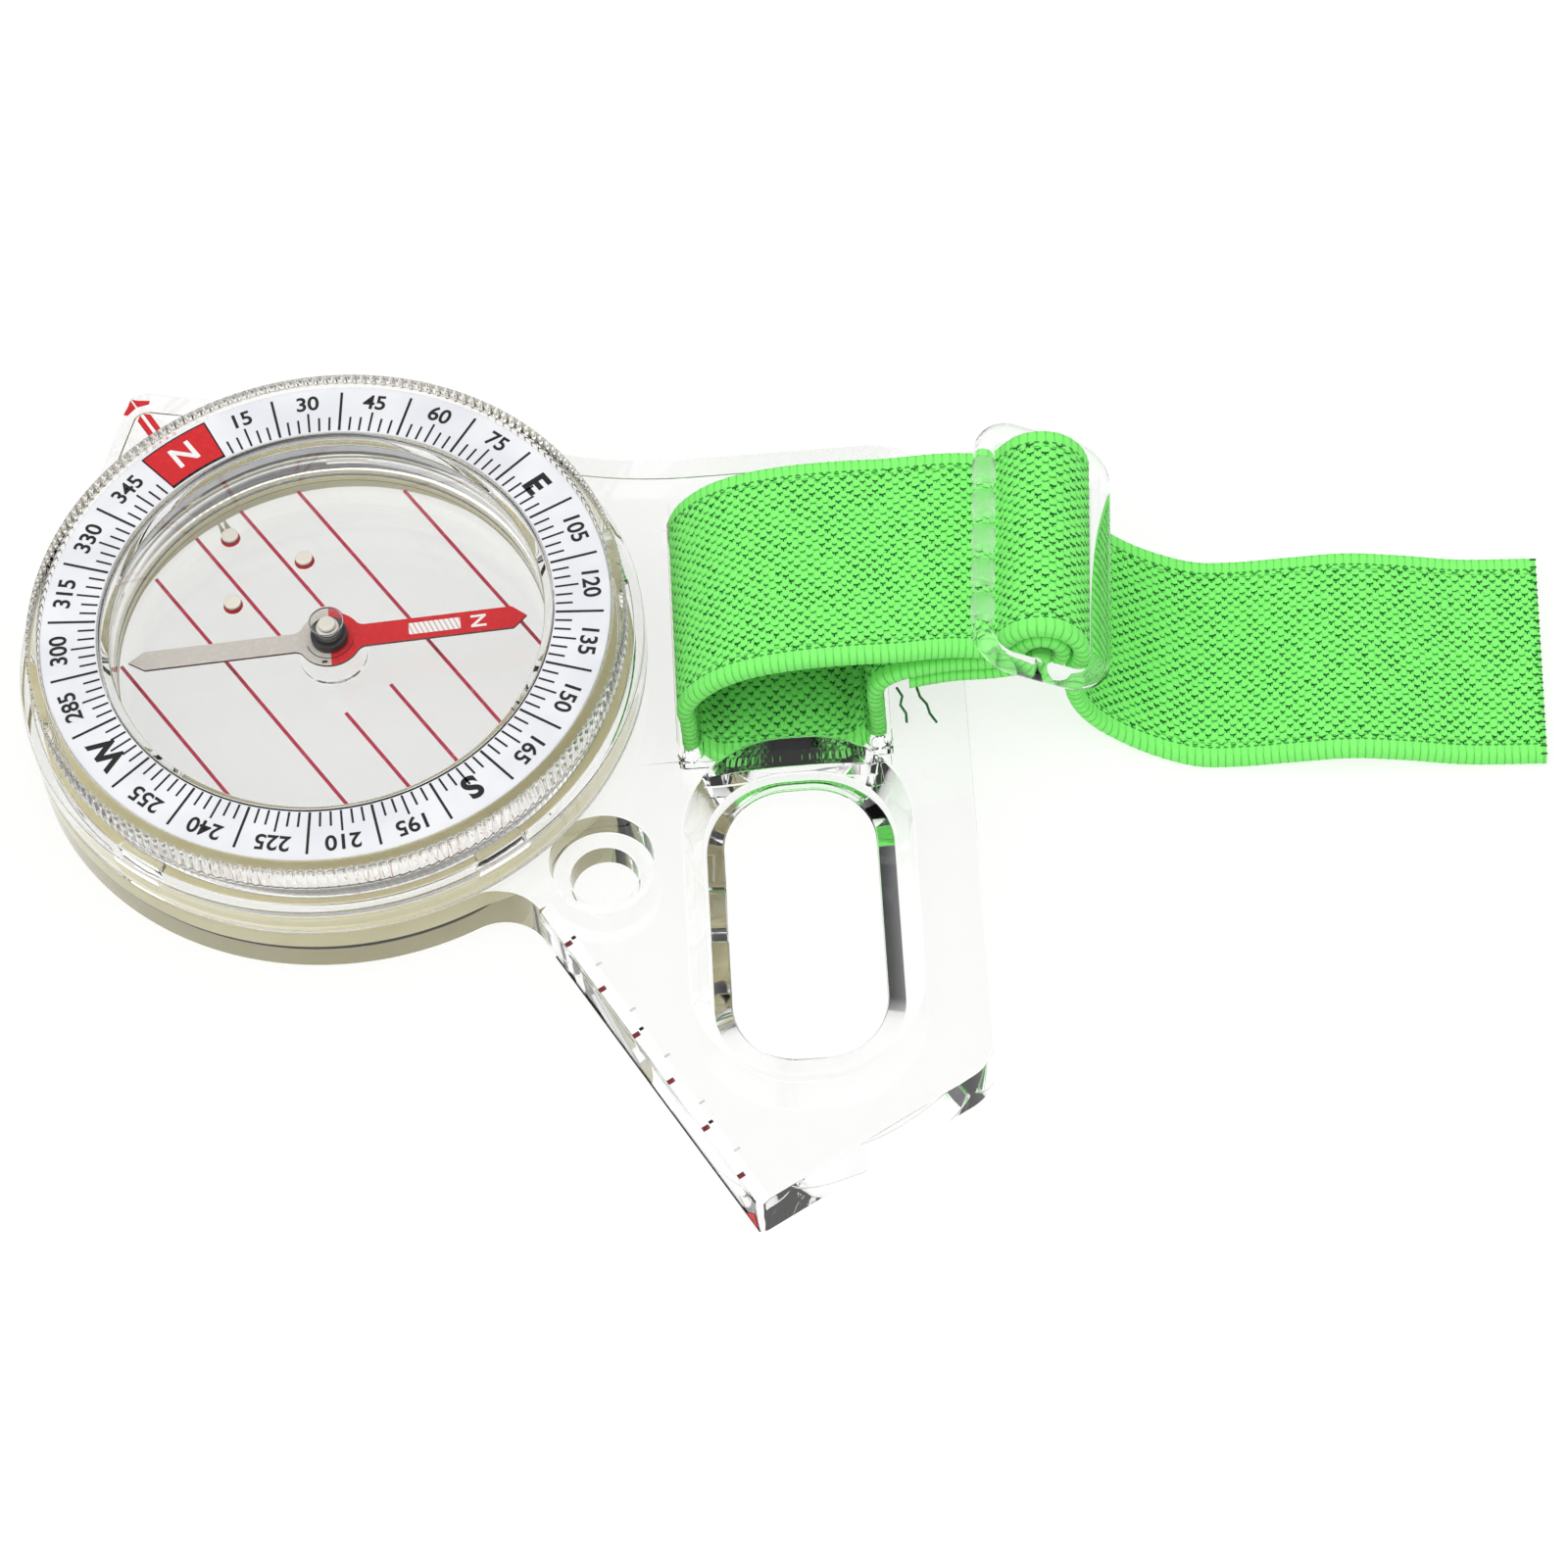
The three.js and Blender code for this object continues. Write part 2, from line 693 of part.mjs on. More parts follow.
function buckleFrame() {
  const core = barRadius * 0.25;
  const round = barRadius - core;
  const railSpan = strapWidth / 2 + railRoom + barRadius;
  const outer = roundedRectangle(
    0,
    0,
    2 * (barSpacing + core),
    2 * (railSpan + core),
    buckleRound,
  );
  const shape = new THREE.Shape(outer);
  for (const side of [-1, 1]) {
    const opening = roundedRectangle(
      (side * barSpacing) / 2,
      0,
      barSpacing - 2 * core,
      2 * (railSpan - core),
      round + openingRound,
      4,
    );
    shape.holes.push(new THREE.Path(opening));
  }
  const options = {
    depth: 2 * core,
    bevelEnabled: true,
    bevelThickness: round,
    bevelSize: round,
    bevelSegments: 2,
  };
  return toSolid(
    new THREE.ExtrudeGeometry(shape, options)
      .translate(0, 0, -core)
      .rotateY(rad(buckleSlope))
      .rotateZ(-rad(buckleTurn))
      .translate(buckle.x, strapMiddle, buckle.z),
  );
}

addPiece("baseplate", baseplate(), clearPlastic);
addPiece("luminous_ring", glowingRing(), luminous);
addPiece("bezel_collar", bezelCollar(), clearPlastic);
addPiece("strap_under_run", strapLength(underRunRoute(), 60, strapFlare), elastic);
addPiece("strap_thumb_arch", strapLength(thumbArchRoute(), 28), elastic);
addPiece("strap_anchor_loop", strapLength(anchorRoute(), 56), elastic);
addPiece("strap_free_end", strapLength(freeEndRoute(), 72), elastic);
addPiece("buckle", buckleFrame(), clearPlastic);

addPiece("bezel", bezel(), clearPlastic, bezelGroup);
addPiece("dial_ring", dialRing(), dialWhite, bezelGroup);
addPiece("capsule_cup", capsuleCup(), clearPlastic, bezelGroup);
addPiece("capsule_lid", capsuleLid(), clearPlastic, bezelGroup);
addPiece("pivot_pin", pivotPin(), steel, bezelGroup);
addPiece(
  "filler_plug",
  radialPin(plug.radius, cupInner, cupOuter, plug.angle, plugHeight),
  luminous,
  bezelGroup,
);
dotPlaces().forEach(({ x, y }, i) =>
  addPiece(
    `luminous_dot_${i + 1}`,
    disc(x, y, dots.radius, cupFloor - dots.depth + slip / 2, cupFloor + slip / 2),
    luminous,
    bezelGroup,
  ),
);

addPiece("needle_blade", needleBlade(), needlePaint, needleGroup);
addPiece("needle_magnet", needleMagnet(), magnetBlack, needleGroup);
addPiece("jewel_cap", jewelCap(), clearPlastic, needleGroup);

export default thumbCompass;
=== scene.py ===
# A thumb compass: clear plate, turning liquid capsule, knitted elastic strap and clear sliding buckle.
# Shapes are worked out in millimetres and written to the meshes in metres.
import math
import bmesh
import bpy
from mathutils import Matrix, Vector


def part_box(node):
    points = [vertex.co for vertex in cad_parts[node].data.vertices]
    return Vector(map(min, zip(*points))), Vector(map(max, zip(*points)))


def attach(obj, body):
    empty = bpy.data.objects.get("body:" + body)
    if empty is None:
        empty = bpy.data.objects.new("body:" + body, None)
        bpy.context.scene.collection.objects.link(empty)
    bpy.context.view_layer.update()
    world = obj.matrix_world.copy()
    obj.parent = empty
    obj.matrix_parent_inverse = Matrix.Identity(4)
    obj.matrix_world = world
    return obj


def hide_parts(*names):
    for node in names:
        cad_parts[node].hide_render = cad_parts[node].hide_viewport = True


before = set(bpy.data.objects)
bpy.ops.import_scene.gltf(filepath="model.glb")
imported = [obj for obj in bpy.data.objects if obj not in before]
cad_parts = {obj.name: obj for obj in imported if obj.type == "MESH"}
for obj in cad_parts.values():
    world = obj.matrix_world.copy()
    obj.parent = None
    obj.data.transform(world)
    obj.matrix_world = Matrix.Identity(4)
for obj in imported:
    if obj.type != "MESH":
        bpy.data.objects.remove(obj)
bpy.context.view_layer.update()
mm = 0.001


def span(node):  # lowest and highest corner of a CAD node, in millimetres
    low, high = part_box(node)
    return low / mm, high / mm


# ---- shared sizes, read from the frame

plateTop = span("baseplate")[1].z
plateRadius = span("bezel_collar")[1].x
travelAngle = 120  # direction of travel, anticlockwise from +X
dialHeading = 123.7  # direction of the printed north
needleHeading = 3.1  # direction of the needle's north end
barCentre = sum((Vector(corner) for corner in span("buckle")), Vector()) / 2
ringSteps = 192  # sides of a full circle


def polar(radius, degrees, z=None):
    x, y = radius * math.cos(math.radians(degrees)), radius * math.sin(math.radians(degrees))
    return Vector((x, y)) if z is None else Vector((x, y, z))


def onTravel(forwards, right):  # a point given along the line of travel and to its right
    return polar(forwards, travelAngle) + polar(right, travelAngle - 90)


# ---- node trees

class Signal:  # a socket that adds Math nodes when it is used in a sum
    def __init__(self, graph, socket):
        self.graph, self.socket = graph, socket

    def __add__(self, other):
        return self.graph.math("ADD", self, other)

    def __sub__(self, other):
        return self.graph.math("SUBTRACT", self, other)

    def __rsub__(self, other):
        return self.graph.math("SUBTRACT", other, self)

    def __mul__(self, other):
        return self.graph.math("MULTIPLY", self, other)

    def __truediv__(self, other):
        return self.graph.math("DIVIDE", self, other)

    __radd__, __rmul__ = __add__, __mul__


class Graph:
    def __init__(self, tree):
        self.tree = tree

    def node(self, kind, settings=None, inputs=None, output=0):
        made = self.tree.nodes.new(kind)
        for key, value in (settings or {}).items():
            setattr(made, key, value)
        given = inputs or {}
        for key, value in given.items() if isinstance(given, dict) else enumerate(given):
            if isinstance(value, Signal):
                self.tree.links.new(value.socket, made.inputs[key])
            else:
                made.inputs[key].default_value = value
        return Signal(self, made.outputs[output]) if made.outputs else None

    def math(self, operation, *values):
        return self.node("ShaderNodeMath", {"operation": operation}, values)

    def vector(self, operation, *values):
        return self.node("ShaderNodeVectorMath", {"operation": operation}, values)

    def mix(self, share, first, second):  # of two colours
        settings = {"data_type": "RGBA", "clamp_factor": True}
        return self.node("ShaderNodeMix", settings, {0: share, 6: first, 7: second}, 2)

    def steps(self, value, low, high):  # 0 below low and 1 above high, smoothly
        settings = {"interpolation_type": "SMOOTHSTEP"}
        return self.node("ShaderNodeMapRange", settings, {0: value, 1: low, 2: high, 3: 0, 4: 1})

    def dot(self, first, second):
        return self.node("ShaderNodeVectorMath", {"operation": "DOT_PRODUCT"}, [first, second], "Value")

    def parts(self, vector):
        split = self.node("ShaderNodeSeparateXYZ", {}, [vector]).socket.node
        return [Signal(self, output) for output in split.outputs]

    def joined(self, x, y, z):
        return self.node("ShaderNodeCombineXYZ", {}, [x, y, z])

    def noise(self, vector, scale, detail=2.0, roughness=0.5):
        values = {"Vector": vector, "Scale": scale, "Detail": detail, "Roughness": roughness}
        return self.node("ShaderNodeTexNoise", {}, values)

    def here(self):  # the shaded point, in the piece's own frame
        return self.node("ShaderNodeTexCoord", {}, {}, "Object")

    def skin(self, values):
        return self.node("ShaderNodeBsdfPrincipled", {}, values)

    def bump(self, height, strength, distance):
        values = {"Strength": strength, "Distance": distance, "Height": height}
        return self.node("ShaderNodeBump", {}, values)


def newMaterial(name, build):
    material = bpy.data.materials.new(name)
    material.use_nodes = True
    tree = material.node_tree
    tree.nodes.clear()
    graph = Graph(tree)
    shader = build(graph)
    graph.node("ShaderNodeOutputMaterial", {}, {"Surface": shader})
    return material


# ---- materials

def rgb(red, green, blue):
    return (red, green, blue, 1.0)


clearLook = {
    "ior": 1.49,
    "smudgeScale": 90,
    "smudgeRange": (0.45, 0.75),
    "smudge": 0.035,  # roughness that a smudge adds
    "scratchScale": 1500,
    "scratchStretch": (1, 0.06, 1),
    "scratchRange": (0.71, 0.76),
    "scratch": 0.10,
    "frost": 0.5,
    "rippleScale": 260,
    "shade": rgb(0.985, 0.985, 0.985),
}


def clearPlastic(name, tint=rgb(0.998, 1.0, 0.998), roughness=0.008, frosted=None):
    # Polished acrylic. Lamps shine through it, so what lies under it stays light.
    def build(g):
        here = g.here()
        look = clearLook
        smudge = g.steps(g.noise(here, look["smudgeScale"], 3), *look["smudgeRange"])
        streaks = g.vector("MULTIPLY", here, look["scratchStretch"])
        scratch = g.steps(g.noise(streaks, look["scratchScale"], 1), *look["scratchRange"])
        rough = roughness + smudge * look["smudge"] + scratch * look["scratch"]
        if frosted:
            rough = rough + frosted(g, here) * look["frost"]
        ripple = g.bump(g.noise(here, look["rippleScale"], 1), 0.05, 0.1 * mm)
        skin = g.skin({
            "Base Color": tint,
            "Roughness": rough,
            "IOR": look["ior"],
            "Transmission Weight": 1.0,
            "Normal": ripple,
        })
        bare = g.node("ShaderNodeBsdfTransparent", {}, {"Color": look["shade"]})
        lamp = g.node("ShaderNodeLightPath", {}, {}, "Is Shadow Ray")
        return g.node("ShaderNodeMixShader", {}, [lamp, skin, bare])

    return newMaterial(name, build)


def mouldedPlastic(name, colour, second, roughness, grain=900):
    # Opaque moulded plastic with a faint mottle and a fine grain.
    def build(g):
        here = g.here()
        mottle = g.steps(g.noise(here, 160, 3), 0.3, 0.7)
        fine = g.noise(here, grain, 3)
        return g.skin({
            "Base Color": g.mix(mottle, colour, second),
            "Roughness": roughness + fine * 0.12,
            "Normal": g.bump(fine, 0.15, 0.03 * mm),
        })

    return newMaterial(name, build)


def inkPaint(name, colour, second, roughness=0.55):
    # Printed ink, slightly uneven where it is thin.
    def build(g):
        here = g.here()
        thin = g.steps(g.noise(here, 2600, 4, 0.6), 0.45, 0.72)
        return g.skin({
            "Base Color": g.mix(thin, colour, second),
            "Roughness": roughness + thin * 0.2,
            "Normal": g.bump(thin, 0.2, 0.01 * mm),
        })

    return newMaterial(name, build)


def brushedMetal(name, colour):
    def build(g):
        here = g.here()
        lines = g.noise(g.vector("MULTIPLY", here, (1, 1, 12)), 3000, 2)
        return g.skin({
            "Base Color": colour,
            "Metallic": 1.0,
            "Roughness": 0.2 + lines * 0.2,
            "Normal": g.bump(lines, 0.1, 0.01 * mm),
        })

    return newMaterial(name, build)


knit = {
    "along": 0.51,  # length of a column of stitches along the band, in millimetres
    "across": 0.92,  # width of a stitch across the band
    "rib": 0.62,  # length of a rib on the band's edges
    "edge": 1.35,  # width of the ribbed edge
    # bright and middle are a lit and a shaded copy of the yarn's green, mixed by the knit's height: painted
    # light and shade
    "bright": rgb(0.23, 0.95, 0.17),
    "middle": rgb(0.10, 0.70, 0.08),
    # gap is painted shade in the knit's open gaps and hollows
    "gap": rgb(0.0, 0.09, 0.008),
}


def knittedElastic(name, halfWidth):
    # Staggered stitches with a small open Y under each, and cross ribs along both edges. The colour carries
    # painted shade: near-black in the open gaps, between the edge ribs and on the edge's dotted lines, and
    # lighter where the knit stands higher.
    def build(g):
        weave = g.node("ShaderNodeAttribute", {"attribute_name": "weave"}, {}, "Vector")
        wander = g.noise(weave, 0.8, 2) - 0.5
        u, v, _ = g.parts(weave)
        column = v / knit["along"] + wander * 0.9
        whole = g.math("FLOOR", column)
        a = g.math("FRACT", column) - 0.5
        odd = g.math("FLOORED_MODULO", whole, 2.0)
        row = u / knit["across"] + odd * 0.5 + wander * 0.5
        b = g.math("FRACT", row) - 0.5
        cell = g.joined(whole, g.math("FLOOR", row), 0.0)
        chance = g.node("ShaderNodeTexWhiteNoise", {"noise_dimensions": "3D"}, [cell])
        side = g.math("ABSOLUTE", a)
        fromArms = g.math("ABSOLUTE", b - side * 0.22 - (chance - 0.5) * 0.06)
        arms = 1 - g.steps(fromArms - chance * 0.05, 0.02, 0.08)
        arms = arms * (1 - g.steps(side - chance * 0.14, 0.30, 0.42))
        stem = (1 - g.steps(side, 0.05, 0.15)) * (1 - g.steps(g.math("ABSOLUTE", b + 0.13), 0.08, 0.15))
        gap = g.math("MAXIMUM", arms, stem * g.steps(chance, 0.15, 0.5))
        fibre = g.noise(g.vector("MULTIPLY", weave, (2.4, 5.5, 1.0)), 2.4, 3, 0.6)
        hill = g.math("COSINE", b * 2 * math.pi + math.pi) * 0.35 + 0.55
        hill = hill + g.math("COSINE", a * 2 * math.pi) * 0.12
        fromEdge = halfWidth - g.math("ABSOLUTE", u)
        inner = g.steps(fromEdge, knit["edge"] - 0.08, knit["edge"] + 0.08)
        ribRow = g.math("ABSOLUTE", g.math("FRACT", v / knit["rib"] + wander * 0.3) - 0.5)
        ribGap = g.steps(ribRow, 0.38, 0.47) * (1 - g.steps(fromEdge, 0.4, 0.75) * 0.5)
        line = 1 - g.steps(g.math("ABSOLUTE", fromEdge - knit["edge"]), 0.04, 0.12)
        second = 1 - g.steps(g.math("ABSOLUTE", fromEdge - knit["edge"] - 0.42), 0.03, 0.09)
        dots = g.math("MAXIMUM", line, second * 0.6) * g.steps(ribRow, 0.12, 0.32)
        # dark marks where painted shade goes: the open gaps, the hollows between the edge ribs, and the
        # dotted lines
        dark = g.math("MAXIMUM", gap * inner, g.math("MAXIMUM", ribGap * (1 - inner) * 0.3, dots * 0.7))
        height = hill * inner + (0.85 - ribRow * 0.7) * (1 - inner) - dark * 0.7 + fibre * 0.35
        # painted light and shade: higher parts of the knit get the lit green, lower parts the shaded one
        shade = g.steps(height, 0.05, 0.95)
        shadedYarn = g.mix(shade, knit["middle"], knit["bright"])
        return g.skin({
            "Base Color": g.mix(dark, shadedYarn, knit["gap"]),
            "Roughness": 0.84 + dark * 0.1,
            "Sheen Weight": 0.12,
            "Sheen Roughness": 0.45,
            "Sheen Tint": rgb(0.6, 1.0, 0.55),
            "Normal": g.bump(height, 0.6, 0.12 * mm),
        })

    return newMaterial(name, build)


clear = clearPlastic("clear_acrylic")
bezelClear = clearPlastic("clear_bezel", rgb(1.0, 0.992, 0.975))
cream = mouldedPlastic("luminous_cream", rgb(0.86, 0.80, 0.50), rgb(0.80, 0.74, 0.44), 0.4)
dotCream = mouldedPlastic("luminous_dot", rgb(0.86, 0.82, 0.72), rgb(0.82, 0.77, 0.66), 0.5)
dialGrey = mouldedPlastic("dial_grey", rgb(0.84, 0.85, 0.88), rgb(0.74, 0.75, 0.79), 0.42, 1400)
blackInk = inkPaint("black_ink", rgb(0.004, 0.004, 0.004), rgb(0.02, 0.02, 0.02), 0.7)
redInk = inkPaint("red_ink", rgb(0.58, 0.002, 0.006), rgb(0.70, 0.012, 0.018))
maroonInk = inkPaint("maroon_ink", rgb(0.14, 0.003, 0.006), rgb(0.3, 0.02, 0.03))
whiteInk = inkPaint("white_ink", rgb(0.88, 0.87, 0.85), rgb(0.78, 0.77, 0.75))
pinkInk = inkPaint("crimson_line_ink", rgb(0.50, 0.004, 0.045), rgb(0.66, 0.05, 0.12))
paleInk = inkPaint("moulded_grey", rgb(0.55, 0.55, 0.55), rgb(0.7, 0.7, 0.7))
magnetBlack = mouldedPlastic("sintered_magnet", rgb(0.012, 0.012, 0.013), rgb(0.03, 0.03, 0.032), 0.3, 2500)
pinSteel = brushedMetal("pin_steel", rgb(0.74, 0.75, 0.76))
print("materials made")


# ---- mesh helpers

def addObject(name, data):
    added = bpy.data.objects.new(name, data)
    bpy.context.scene.collection.objects.link(added)
    return added


def newMesh(name, vertices, faces):
    mesh = bpy.data.meshes.new(name)
    mesh.from_pydata([Vector(v) * mm for v in vertices], [], faces)
    mesh.update()
    return mesh


def newPiece(name, vertices, faces, materials=()):
    piece = addObject(name, newMesh(name, vertices, faces))
    for material in materials:
        piece.data.materials.append(material)
    return piece


def solidFaces(count, levels=2):
    # The faces of a closed solid: two ends, and walls between levels of count points each.
    last = (levels - 1) * count
    faces = [list(reversed(range(count))), list(range(last, last + count))]
    for base in range(0, last, count):
        for i in range(count):
            k = (i + 1) % count
            faces.append([base + i, base + k, base + k + count, base + i + count])
    return faces


def faceOutwards(piece):
    tidy = bmesh.new()
    tidy.from_mesh(piece.data)
    bmesh.ops.recalc_face_normals(tidy, faces=tidy.faces)
    tidy.to_mesh(piece.data)
    tidy.free()
    return piece


def settle(piece):  # turns the piece's modifiers into a plain mesh
    bpy.context.view_layer.update()
    depsgraph = bpy.context.evaluated_depsgraph_get()
    mesh = bpy.data.meshes.new_from_object(piece.evaluated_get(depsgraph), depsgraph=depsgraph)
    piece.modifiers.clear()
    piece.data = mesh
    return piece


def polish(piece, sharp=50, bevel=0.0):
    # Rounds the sharp edges, and shades curves smooth while flats stay flat.
    if bevel:
        edge = piece.modifiers.new("edges", "BEVEL")
        edge.width, edge.segments = bevel * mm, 2
        edge.limit_method, edge.angle_limit = "ANGLE", math.radians(28)
        edge.use_clamp_overlap = False
        settle(piece)
    piece.data.shade_smooth()
    piece.data.set_sharp_from_angle(angle=math.radians(sharp))
    weights = piece.modifiers.new("flats", "WEIGHTED_NORMAL")
    weights.mode, weights.keep_sharp = "FACE_AREA", True
    return settle(piece)


def place(piece, body, stands=()):
    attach(piece, body)
    if stands:
        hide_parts(*stands)
    return piece


def cornerArc(a, b, c, radius, steps):
    # The rounded corner at b, between a and c, as points.
    into, out = (a - b).normalized(), (c - b).normalized()
    halfAngle = into.angle(out) / 2
    centre = b + (into + out).normalized() * (radius / math.sin(halfAngle))
    first = b + into * (radius / math.tan(halfAngle)) - centre
    turn = math.pi - 2 * halfAngle
    way = 1 if into.cross(out) < 0 else -1
    return [centre + turned2d(first, way * turn * i / steps) for i in range(steps + 1)]


def turned2d(vector, angle):
    c, s = math.cos(angle), math.sin(angle)
    return Vector((c * vector.x - s * vector.y, s * vector.x + c * vector.y))


def arc(centre, radius, start, end, steps):
    return [Vector(centre) + polar(radius, start + (end - start) * i / steps) for i in range(steps + 1)]


def circle(centre, radius, steps):
    return arc(centre, radius, 0, 360, steps)[1:]


def sector(inner, outer, start, end, steps):  # of a ring about the dial's axis
    return arc((0, 0), outer, start, end, steps) + arc((0, 0), inner, end, start, steps)


def softened(profile, radius, steps=3):
    # A closed profile of (radius, height) with its corners rounded, apart from those on the axis.
    points = [Vector(p) for p in profile]
    count = len(points)
    made = []
    for i, b in enumerate(points):
        a, c = points[i - 1], points[(i + 1) % count]
        if b.x < 1e-6:
            made.append(b)
            continue
        room = min((a - b).length, (c - b).length) * 0.45
        bend = (a - b).angle(c - b) / 2
        made += cornerArc(a, b, c, min(radius, room * math.tan(bend)), steps)
    return made


def turnedPiece(name, profile, steps, material, rounding=0.12, sharp=50):
    # A ring or disc turned about the dial's axis from a closed, anticlockwise profile.
    points = softened(profile, rounding) if rounding else [Vector(p) for p in profile]
    vertices, rows = [], []
    for point in points:
        if point.x < 1e-6:
            rows.append([len(vertices)] * steps)
            vertices.append((0, 0, point.y))
            continue
        rows.append(list(range(len(vertices), len(vertices) + steps)))
        vertices += [polar(point.x, 360 * j / steps, point.y) for j in range(steps)]
    faces = []
    for i, row in enumerate(rows):
        above = rows[(i + 1) % len(rows)]
        for j in range(steps):
            k = (j + 1) % steps
            corners = list(dict.fromkeys([row[j], row[k], above[k], above[j]]))
            if len(corners) > 2:
                faces.append(corners)
    return polish(newPiece(name, vertices, faces, [material] if material else []), sharp)


def lofted(name, loops, materials=()):
    # A closed solid through loops of equally many points, each a list of points and its height.
    vertices = [(*p, z) for loop, z in loops for p in loop]
    return newPiece(name, vertices, solidFaces(len(loops[0][0]), len(loops)), materials)


def slabPiece(name, outline, bottom, top, materials=()):
    return lofted(name, [(outline, bottom), (outline, top)], materials)


def combine(piece, operation, *tools):  # a boolean DIFFERENCE from the tools, or UNION with them
    for tool in tools:
        change = piece.modifiers.new("change", "BOOLEAN")
        change.operation, change.solver, change.object = operation, "EXACT", tool
    settle(piece)
    for tool in tools:
        bpy.data.objects.remove(tool)
    return piece


def roundedLoop(x, y, width, length, corner, steps=12):
    points = []
    for sx, sy, start in ((1, 1, 0), (-1, 1, 90), (-1, -1, 180), (1, -1, 270)):
        centre = (x + sx * (width / 2 - corner), y + sy * (length / 2 - corner))
        points += arc(centre, corner, start, start + 90, steps)
    return points


def joinMeshes(name, meshes, materials):
    joined = bmesh.new()
    for mesh in meshes:
        joined.from_mesh(mesh)
        bpy.data.meshes.remove(mesh)
    made = bpy.data.meshes.new(name)
    joined.to_mesh(made)
    joined.free()
    for material in materials:
        made.materials.append(material)
    return addObject(name, made)


def inked(name, meshes, ink, body):
    return place(joinMeshes(name, meshes, [ink]), body)


# ---- camera

view = {
    "position": (45.8, -244.0, 357.9),
    "forward": (-0.0238, 0.5447, -0.8383),
    "right": (0.9969, -0.0505, -0.0611),
    "lens": 121.3,
}


def makeCamera():
    data = bpy.data.cameras.new("camera")
    data.sensor_width, data.lens = 36, view["lens"]
    data.clip_start, data.clip_end = 0.02, 20
    camera = addObject("camera", data)
    forward = Vector(view["forward"]).normalized()
    up = Vector(view["right"]).cross(forward).normalized()
    right = forward.cross(up)
    turn = Matrix((right, up, -forward)).transposed()
    camera.matrix_world = Matrix.Translation(Vector(view["position"]) * mm) @ turn.to_4x4()
    bpy.context.scene.camera = camera


makeCamera()


# ---- baseplate

plate = {
    "noseReach": 34.4,
    "noseRound": 1.2,
    "wingTop": 18.4,
    "wingTopRound": 7,
    "wingBottomRound": 4,
    "shoulderFillet": 40,
    "rulerOffset": 1.5,
    "rulerFillet": 4,
    "tailReach": 61.3,
    "tipRound": 0.6,
    "rulerChamfer": (1.0, 0.6),  # width and depth of the sloping edge
    "rulerEnd": 29.25,  # where the slope stops, from the dial's axis
    "lanyard": {"at": (21, -20.4), "hole": 2.7, "counterbore": 4.15, "depth": 2.5},
    "slots": (28.4, 43.6),
    "slotWidth": 2,
    "slotLength": 23.2,
    "slotCorner": 0.98,
    "channelHeight": 1.55,
    "channelWidth": 23.2,
    "channelCorner": 0.5,
    "groove": (18.7, 24.3, 2.15),  # for the glow ring: inner and outer radius, and its floor
    "window": {"at": (36.7, -25.6), "size": (12.2, 24.8), "corner": 5.2},
    "ledge": 1.65,
    "ledgeBottom": 1.55,
    "ledgeTop": 1.65,
    "windowDraft": 1.4,
    "windowChamfer": (1.56, 1.35),
    "edge": 0.14,  # rounding of the plate's edges
}
strapMiddle = 1.0


def plateOutline():
    offset, fillet = plate["rulerOffset"], plate["rulerFillet"]
    wingRight = span("baseplate")[1].x
    tip = onTravel(-plate["tailReach"], offset)
    rear = polar(1, travelAngle - 90)
    rearRight = tip + rear * ((wingRight - tip.x) / rear.x)
    topRight = Vector((wingRight, plate["wingTop"]))
    shoulderY = plate["wingTop"] + plate["shoulderFillet"]
    shoulder = Vector((math.sqrt((plateRadius + plate["shoulderFillet"]) ** 2 - shoulderY**2), shoulderY))
    tangent = math.degrees(math.acos(plateRadius / plate["noseReach"]))
    nose = polar(plate["noseReach"], travelAngle)
    noseFrom = polar(plateRadius, travelAngle - tangent)
    noseTo = polar(plateRadius, travelAngle + tangent)
    back = math.sqrt((plateRadius + fillet) ** 2 - (offset - fillet) ** 2)
    hollow = onTravel(-back, offset - fillet)
    touch = math.degrees(math.atan2(shoulder.y, shoulder.x))
    hollowTurn = math.degrees(math.atan2(hollow.y, hollow.x))
    outline = cornerArc(tip, rearRight, topRight, plate["wingBottomRound"], 16)
    topLeft = Vector((shoulder.x, plate["wingTop"]))
    outline += cornerArc(rearRight, topRight, topLeft, plate["wingTopRound"], 20)
    outline += arc(shoulder, plate["shoulderFillet"], 270, touch + 180, 14)
    outline += arc((0, 0), plateRadius, touch, travelAngle - tangent, 16)[1:]
    outline += cornerArc(noseFrom, nose, noseTo, plate["noseRound"], 10)
    outline += arc((0, 0), plateRadius, travelAngle + tangent, hollowTurn + 360, 84)
    outline += arc(hollow, fillet, hollowTurn + 180, travelAngle - 90, 14)[1:]
    outline += cornerArc(onTravel(-back, offset), tip, rearRight, plate["tipRound"], 6)
    return outline


